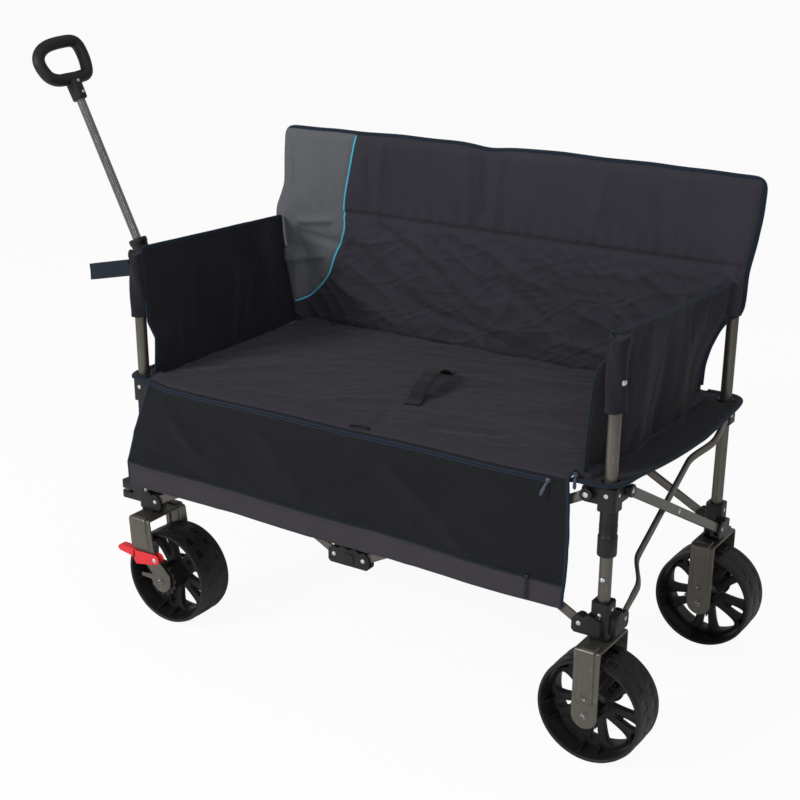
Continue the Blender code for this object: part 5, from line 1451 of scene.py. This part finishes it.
def dress_walls():
    for name, ex in ENDS.items():
        body = f"corner_{name}_left"
        u, v = np.meshgrid(np.linspace(0, 1, 121), np.linspace(0, 1, 73))
        grid = wall_spot(u, v, name)
        wall = piece(f"end_wall_cloth_{name}", cloth_sheet(grid, grid[..., 1:], 0.0022), LINING, body,
                     [f"end_wall_{name}"], angle=70, fold="Y")
        # the slack sleeve round the open side's post
        loops = []
        for h in np.linspace(0.626, 0.7495, 30):
            lift = h - 0.628
            ring = []
            for a in TAU * np.arange(40) / 40:
                slack = 0.0014 * math.sin(3 * a + 60 * lift) + 0.0014 * math.sin(a * 2 + 25 * lift)
                crumple = 0.002 * math.exp(-(((h - 0.742) / 0.006) ** 2)) * math.sin(5 * a)
                r = 0.016 + slack + crumple + 0.001 * math.exp(-lift / 0.006)
                rise = 0.004 * math.sin(2 * a + 1) * (lift / 0.12) ** 2
                ring.append((ex * POST_X + r * math.cos(a), -POST_Y + r * math.sin(a), h + rise))
            loops.append(ring)
        piece(f"post_sleeve_{name}", rings(loops), LINING, body, angle=60, fold="Y")
        foot = grid[0][::2] + np.array([ex * 0.001, 0, 0.0015])
        trim = joined(taped(grid[-1][::2], 0.0082, 0.0048, (ex, 0, 0.0)),
                      taped(grid[:, -1][2:], 0.0075, 0.004, (ex, 0.3, 0.0)),
                      taped(grid[:, 0], 0.0095, 0.0044, (ex, 0, 0.0)), taped(foot, 0.0065, 0.0036, (ex, 0, 0.4)))
        trims = piece(f"wall_binding_{name}", trim, NAVY, body, angle=60, fold="Y")
        rows = [all_facing(line + np.array([s * 0.0014, 0, 0]), (s * 1.0, 0, 0))
                for line in (grid[-6], grid[4]) for s in (-1, 1)]
        piece(f"wall_stitches_{name}", stitched(rows), LINING, body, fold="Y")
        a = math.radians(-24)
        spot = (ex * (POST_X + 0.0174 * math.cos(a)), -POST_Y + 0.0174 * math.sin(a), 0.678)
        riveted(f"sleeve_snap_{name}", body, [(spot, (ex * math.cos(a), math.sin(a), 0))], 0.004, 0.0018)


LEDGE = [
    (0.452, -0.274), (0.486, -0.2735), (0.51, -0.266), (0.522, -0.242), (0.5235, -0.205), (0.529, -0.15),
    (0.5375, -0.07), (0.5415, 0.0), (0.5425, 0.05), (0.5385, 0.12), (0.5345, 0.18), (0.531, 0.225), (0.523, 0.262),
    (0.505, 0.28), (0.478, 0.282), (0.452, 0.282),
]


def dress_ledges():
    for name, ex in ENDS.items():
        body = f"corner_{name}_left"
        rim = smooth_path(LEDGE, 6)
        inner = np.linspace(rim[0], rim[-1], len(rim))
        inner[:, 0] = 0.434
        t = np.linspace(0, 1, 13)[:, None]
        flat = inner[None] * (1 - t[..., None]) + rim[None] * t[..., None]
        uneven = 1 + 0.6 * value_noise(flat[..., 1] * 14, flat[..., 0] * 20, 5 + ex)
        sag = -0.0016 * np.sin(math.pi * np.clip(t, 0, 1)) * uneven
        curl = 0.005 * t * np.exp(-(((flat[..., 1] + 0.25) / 0.09) ** 2))
        grid = np.stack([ex * flat[..., 0], flat[..., 1], 0.5002 + sag + curl], 2)
        cloth = piece(f"ledge_cloth_{name}", cloth_sheet(grid, flat, 0.0022), LINING, body,
                      [f"end_ledge_{name}"], angle=70, fold="Y")
        path = grid[-1] + np.array([0, 0, 1.0]) * 0.0008 * value_noise(rim[:, 1] * 22, rim[:, 0] * 0, 9)[:, None]
        tape = taped(path, 0.0125, 0.0065, (0, 0, 1.0), 14, 2.4)
        eyelets = []
        for s in (-1, 1):
            ring = turned([(0.0116, 0.4992), (0.016, 0.4992), (0.0166, 0.5008), (0.016, 0.5028), (0.014, 0.5036),
                           (0.0116, 0.5028)], 32)
            eyelets.append(moved(ring, Matrix.Translation((ex * POST_X, s * POST_Y, 0.003 * (s < 0)))))
        binding = piece(f"ledge_binding_{name}", tape, NAVY, body, angle=60, fold="Y")
        rings_piece = piece(f"ledge_eyelets_{name}", joined(*eyelets), NYLON, body, fold="Y")


def low_zip(u):
    """The lower zip's share of the way down, a little lower towards the rear and wavy."""
    return 0.795 + 0.035 * u + 0.006 * np.sin(7 * u + 1)


PANEL_OUT, PANEL_TOP, PANEL_ROLL, PANEL_LOW = 0.0315, 0.513, 0.01, 0.27
PANEL_LEFT, PANEL_FLARE, PANEL_RIGHT, PANEL_LENGTH = 0.456, 0.07, 0.438, 0.272
PANEL_FOLDS = [
    ((0.42, 0.47), (0.22, 0.38), 0.014, 0.004), ((0.36, 0.49), (0.12, 0.44), 0.016, -0.003),
    ((0.3, 0.34), (0.42, 0.4), 0.014, -0.003), ((0.1, 0.45), (0.24, 0.34), 0.016, 0.003),
    ((-0.42, 0.47), (-0.36, 0.4), 0.016, 0.004), ((-0.47, 0.36), (-0.34, 0.34), 0.014, -0.003),
    ((-0.2, 0.46), (-0.1, 0.36), 0.018, 0.003), ((-0.08, 0.36), (0.06, 0.42), 0.016, -0.003),
]


def side_panel_spot(u, d):
    """u runs along the wagon and d is the share of the cloth's length from the seat's edge down."""
    edge, out = SEAT_FRONT + 0.0008, POST_Y + PANEL_OUT
    roll = 0.085
    angle = np.clip(d / roll, 0, 1) * math.pi / 2
    down = np.clip((d - roll) / (1 - roll), 0, 1)
    y = -edge - (out - edge) * np.sin(angle)
    z = PANEL_TOP - PANEL_ROLL * (1 - np.cos(angle)) + 0.006 * ease((0.06 - u) / 0.06) * (1 - down)
    hem = PANEL_LOW + 0.011 * (1 - u)
    z = z - down * (PANEL_TOP - PANEL_ROLL - hem)
    left = -PANEL_LEFT - PANEL_FLARE * np.minimum(1.0, 1.25 * down) ** 0.9
    right = PANEL_RIGHT + 0.004 * np.sin(math.pi * down * 1.3)
    x = left + u * (right - left)
    loose = ease(down * 3)
    y = y - loose * (0.0022 * np.sin(5 * math.pi * u + 0.8) - 0.0012) - loose * 0.0032 * value_noise(x * 7, z * 8, 71)
    y = y - loose * 0.0016 * creased(x, z, 73, 0.06, -0.3, 3.0)
    y = folded(y, -loose, x, z, PANEL_FOLDS, 1.4)
    # a shallow dip where the top rolls over between its anchors
    z = z - 0.0016 * np.sin(3 * math.pi * u) ** 2 * (1 - down)
    return np.stack([x, y, z], -1)


def tab_mesh(spot, down, across, out, length):
    """A zip pull: a flat bar with an eye at its lower end, hung from a bridge."""
    spot, down, across, out = (Vector(v) for v in (spot, down, across, out))
    width, thick = 0.006, 0.0016
    loops = []
    for share, wide in ((0.0, 0.55), (0.12, 0.62), (0.3, 0.7), (0.62, 0.95), (0.8, 1.0), (0.92, 0.85), (1.0, 0.4)):
        centre = spot + down * (0.004 + share * length) + out * (0.0024 - 0.001 * share)
        loops.append([tuple(centre + across * a * wide + out * b) for a, b in oval(width, thick, 12, 3.4)])
    half = thick * 0.62
    eye = turned([(0.0011, -half), (0.0019, -half), (0.0019, half), (0.0011, half)], 16, "Y")
    eye_frame = Matrix((across, out, down)).transposed().to_4x4()
    eye_frame.translation = spot + down * (0.004 + 0.8 * length) + out * 0.0017
    body = []
    for share, wide, high in ((0, 0.5, 0.6), (0.15, 0.9, 1.0), (0.5, 1.0, 1.2), (0.85, 0.9, 1.0), (1, 0.5, 0.6)):
        centre = spot + down * (share - 0.5) * 0.009 + out * 0.0008
        body.append([tuple(centre + across * a * wide + out * b * high) for a, b in oval(0.0078, 0.0036, 14, 2.8)])
    return joined(rings(loops), outward(moved(eye, eye_frame)), rings(body))


def on_panel(name, mesh, finish, stands_for=(), angle=40):
    """A piece of the side panel."""
    return piece(name, mesh, finish, "centre_left", stands_for, angle, "X")


def dress_side_panel():
    u, d = np.meshgrid(np.linspace(0, 1, 201), np.linspace(0, 1, 81))
    grid = side_panel_spot(u, d)
    sheet = cloth_sheet(grid, np.stack([grid[..., 0], d * PANEL_LENGTH], 2), 0.002)
    net = on_panel("side_panel_net", sheet, NETTING, ["side_panel"], angle=70)
    # the hem band, and the strip that the upper zip is sewn to
    for name, finish, proud in (("hem_band", HEM, 0.0011), ("top_strip", CLOTH, 0.0009)):
        u, t = np.meshgrid(np.linspace(0, 1, 201), np.linspace(0, 1, 19))
        d = low_zip(u) * (1 - t) + t if name == "hem_band" else 0.07 * t
        band = side_panel_spot(u, d)
        band = band + surface_normals(band) * proud * (1 if surface_normals(band)[9, 100, 1] < 0 else -1)
        sheet = cloth_sheet(band, np.stack([band[..., 0], d * PANEL_LENGTH], 2), 0.0012)
        on_panel(f"side_panel_{name}", sheet, finish, angle=70)
    u = np.linspace(0.0, 1.0, 160)

    def line_at(d):
        line, ahead = side_panel_spot(u, d), side_panel_spot(u, d + 0.01)
        out = np.cross(ahead - line, np.gradient(line, axis=0))
        out = out / np.linalg.norm(out, axis=1)[:, None]
        return line, np.where(out[:, 1:2] > 0, -out, out)

    top_line, top_out = line_at(np.full_like(u, 0.105))
    low_line, low_out = line_at(low_zip(u))
    keep = slice(1, -5)
    tape = swept((top_line + top_out * 0.0016)[keep], oval(0.008, 0.0016, 14, 4), top_out[keep])
    on_panel("upper_zip_tape", tape, BLUE, angle=60)
    tape = swept(low_line + low_out * 0.0016, oval(0.0054, 0.0018, 12, 3), low_out)
    on_panel("lower_zip_tape", tape, NAVY, angle=60)
    line = (top_line + top_out * 0.0027)[keep], top_out[keep]
    teeth = stitched([line], NYLON, 0.0022, 0.0013, 0.0026, 0.0012, TEETH)
    on_panel("upper_zip_teeth", teeth, NYLON)
    teeth = stitched([(low_line + low_out * 0.0026, low_out)], NYLON, 0.0022, 0.0013, 0.0026, 0.0009, TEETH)
    on_panel("lower_zip_teeth", teeth, NYLON)
    # bindings down both free edges
    d = np.linspace(0.02, 1.0, 80)
    edges = [taped(side_panel_spot(np.full_like(d, at), d), 0.0065, 0.0046, (0, -1.0, 0.3), square=2.4)
             for at in (0.0, 1.0)]
    binding = on_panel("side_panel_binding", joined(*edges), NAVY, angle=60)
    rows = []
    for at in (0.84, 0.985, 0.135, 0.08):
        line, out = line_at(np.full_like(u, at))
        rows.append(((line + out * 0.0024)[2:-2], out[2:-2]))
    on_panel("side_panel_stitches", stitched(rows, HEM), HEM)
    spot = top_line[-7] + top_out[-7] * 0.003
    pull = tab_mesh(spot, (-0.3, -0.35, -0.89), (0.95, 0.0, -0.32), (0.0, -0.93, 0.37), 0.024)
    spot = low_line[-12] + low_out[-12] * 0.003
    lower = tab_mesh(spot, (0, -0.1, -0.995), (1, 0, 0), (0, -1, 0.1), 0.034)
    on_panel("upper_zip_pull", pull, METAL_PULL)
    on_panel("lower_zip_pull", lower, NYLON)
    # the wall zip's pull hangs over the seat's corner
    corner = tab_mesh((0.45, -0.276, 0.515), (0.25, -0.62, -0.74), (0.9, 0.43, -0.06), (-0.35, -0.66, 0.66), 0.022)
    on_panel("corner_zip_pull", corner, PULL)
    # a short loop of tape on the rolled edge
    a = np.linspace(0, math.pi, 24)
    along = (0.026 + 0.02 * np.cos(a) + PANEL_LEFT) / (PANEL_LEFT + PANEL_RIGHT)
    loop = side_panel_spot(along, np.full_like(a, 0.05)) + np.stack([0 * a, 0 * a, 0.0022 + 0.0055 * np.sin(a)], 1)
    tape = swept(loop, oval(0.009, 0.0018, 10, 4), np.stack([np.cos(a) * 0.3, 0 * a, np.ones_like(a)], 1))
    on_panel("edge_tape_loop", tape, STRAP, angle=50)


def dress_loop():
    """The loop of webbing on the front sleeve."""
    start, length = -POST_X - 0.0168, 0.106
    t = np.linspace(-1, 1, 61)
    away = length * (1 - np.abs(t) ** 2.6) ** 0.5
    apart = 0.0048 * t * (0.55 + 0.45 * (away / length) ** 2)
    z = 0.7175 - 0.023 * away / length
    path = np.stack([start - away, -POST_Y + apart, z], 1)
    heading = np.gradient(path, axis=0)
    normals = np.cross(heading, np.array([0.0, 0.0, 1.0]))
    band = swept(path, oval(0.031, 0.002, 14, 6), normals)
    piece("navy_strap_loop", band, LOOP, "corner_front_left", ["strap_loop"], angle=60)


# Light, floor and camera

WHITE = (1.0, 1.0, 1.0, 1.0)
FOCAL_PIXELS, PICTURE_PIXELS = 1483.29, 800


def put(name, data):
    obj = bpy.data.objects.new(name, data)
    bpy.context.scene.collection.objects.link(obj)
    return obj


def seen_share(tree, share=None):
    """1, or the share, on rays from the camera or through clear material, and 0 on all others."""
    rays = tree.nodes.new("ShaderNodeLightPath")
    most = tree.nodes.new("ShaderNodeMath")
    most.operation = "MAXIMUM"
    tree.links.new(rays.outputs["Is Camera Ray"], most.inputs[0])
    tree.links.new(rays.outputs["Is Transmission Ray"], most.inputs[1])
    if share is None:
        return most.outputs[0]
    part = tree.nodes.new("ShaderNodeMath")
    part.operation = "MULTIPLY"
    part.inputs[1].default_value = share
    tree.links.new(most.outputs[0], part.inputs[0])
    return part.outputs[0]


def mixed(tree, share, first, second, output):
    """Feeds an output with two shaders mixed by a share."""
    mix = tree.nodes.new("ShaderNodeMixShader")
    for k, socket in enumerate((share, first.outputs[0], second.outputs[0])):
        tree.links.new(socket, mix.inputs[k])
    tree.links.new(mix.outputs[0], tree.nodes[output].inputs["Surface"])


def dress_studio():
    """A white floor and world that light the wagon softly and are seen as plain white."""
    scene = bpy.context.scene
    scene.view_settings.view_transform = "Standard"
    world = bpy.data.worlds.new("studio")
    scene.world = world
    world.use_nodes = True
    tree = world.node_tree
    light, white = tree.nodes["Background"], tree.nodes.new("ShaderNodeBackground")
    for node, strength in ((light, 0.36), (white, 1.0)):
        node.inputs["Color"].default_value = WHITE
        node.inputs["Strength"].default_value = strength
    mixed(tree, seen_share(tree), light, white, "World Output")
    floor = put("floor", mesh_of([(-60, -60, 0), (60, -60, 0), (60, 60, 0), (-60, 60, 0)], [(0, 1, 2, 3)]))
    paint = bpy.data.materials.new("floor_paint")
    paint.use_nodes = True
    tree = paint.node_tree
    shader = tree.nodes["Principled BSDF"]
    for name, value in (("Base Color", WHITE), ("Roughness", 0.9), ("Specular IOR Level", 0.0)):
        shader.inputs[name].default_value = value
    mixed(tree, seen_share(tree, 0.93), shader, tree.nodes.new("ShaderNodeEmission"), "Material Output")
    floor.data.materials.append(paint)
    lamp("key", (-1.9, -3.5, 2.7), 105, 1.1)
    lamp("fill", (2.5, -3.4, 2.5), 40, 1.2)
    lamp("top", (0.6, 0.2, 3.4), 9, 2.0)


def lamp(name, at, power, size):
    data = bpy.data.lights.new(name, "AREA")
    data.energy, data.size = power, size
    obj = put(name, data)
    obj.location = at
    obj.rotation_euler = (Vector((0.1, 0.0, 0.45)) - Vector(at)).to_track_quat("-Z", "Y").to_euler()


def set_camera():
    data = bpy.data.cameras.new("view")
    camera = put("view", data)
    bpy.context.scene.camera = camera
    data.sensor_width, data.lens = 36.0, 36.0 * FOCAL_PIXELS / PICTURE_PIXELS
    data.shift_y = 0.0761
    yaw, pitch, roll = (math.radians(a) for a in (-32.792, -21.518, 0.215))
    forward = Vector((math.sin(yaw) * math.cos(pitch), math.cos(yaw) * math.cos(pitch), math.sin(pitch)))
    camera.location = Vector((1.413 + MIDDLE_X, -2.2961, 1.4133))
    turn = forward.to_track_quat("-Z", "Y").to_matrix().to_4x4() @ Matrix.Rotation(roll, 4, "Z")
    camera.rotation_euler = turn.to_euler()


set_camera()
dress_studio()
dress_posts()
dress_blocks()
dress_bars()
dress_wheels()
dress_forks()
dress_handle()
dress_seat()
dress_backrest()
dress_walls()
dress_ledges()
dress_side_panel()
dress_loop()
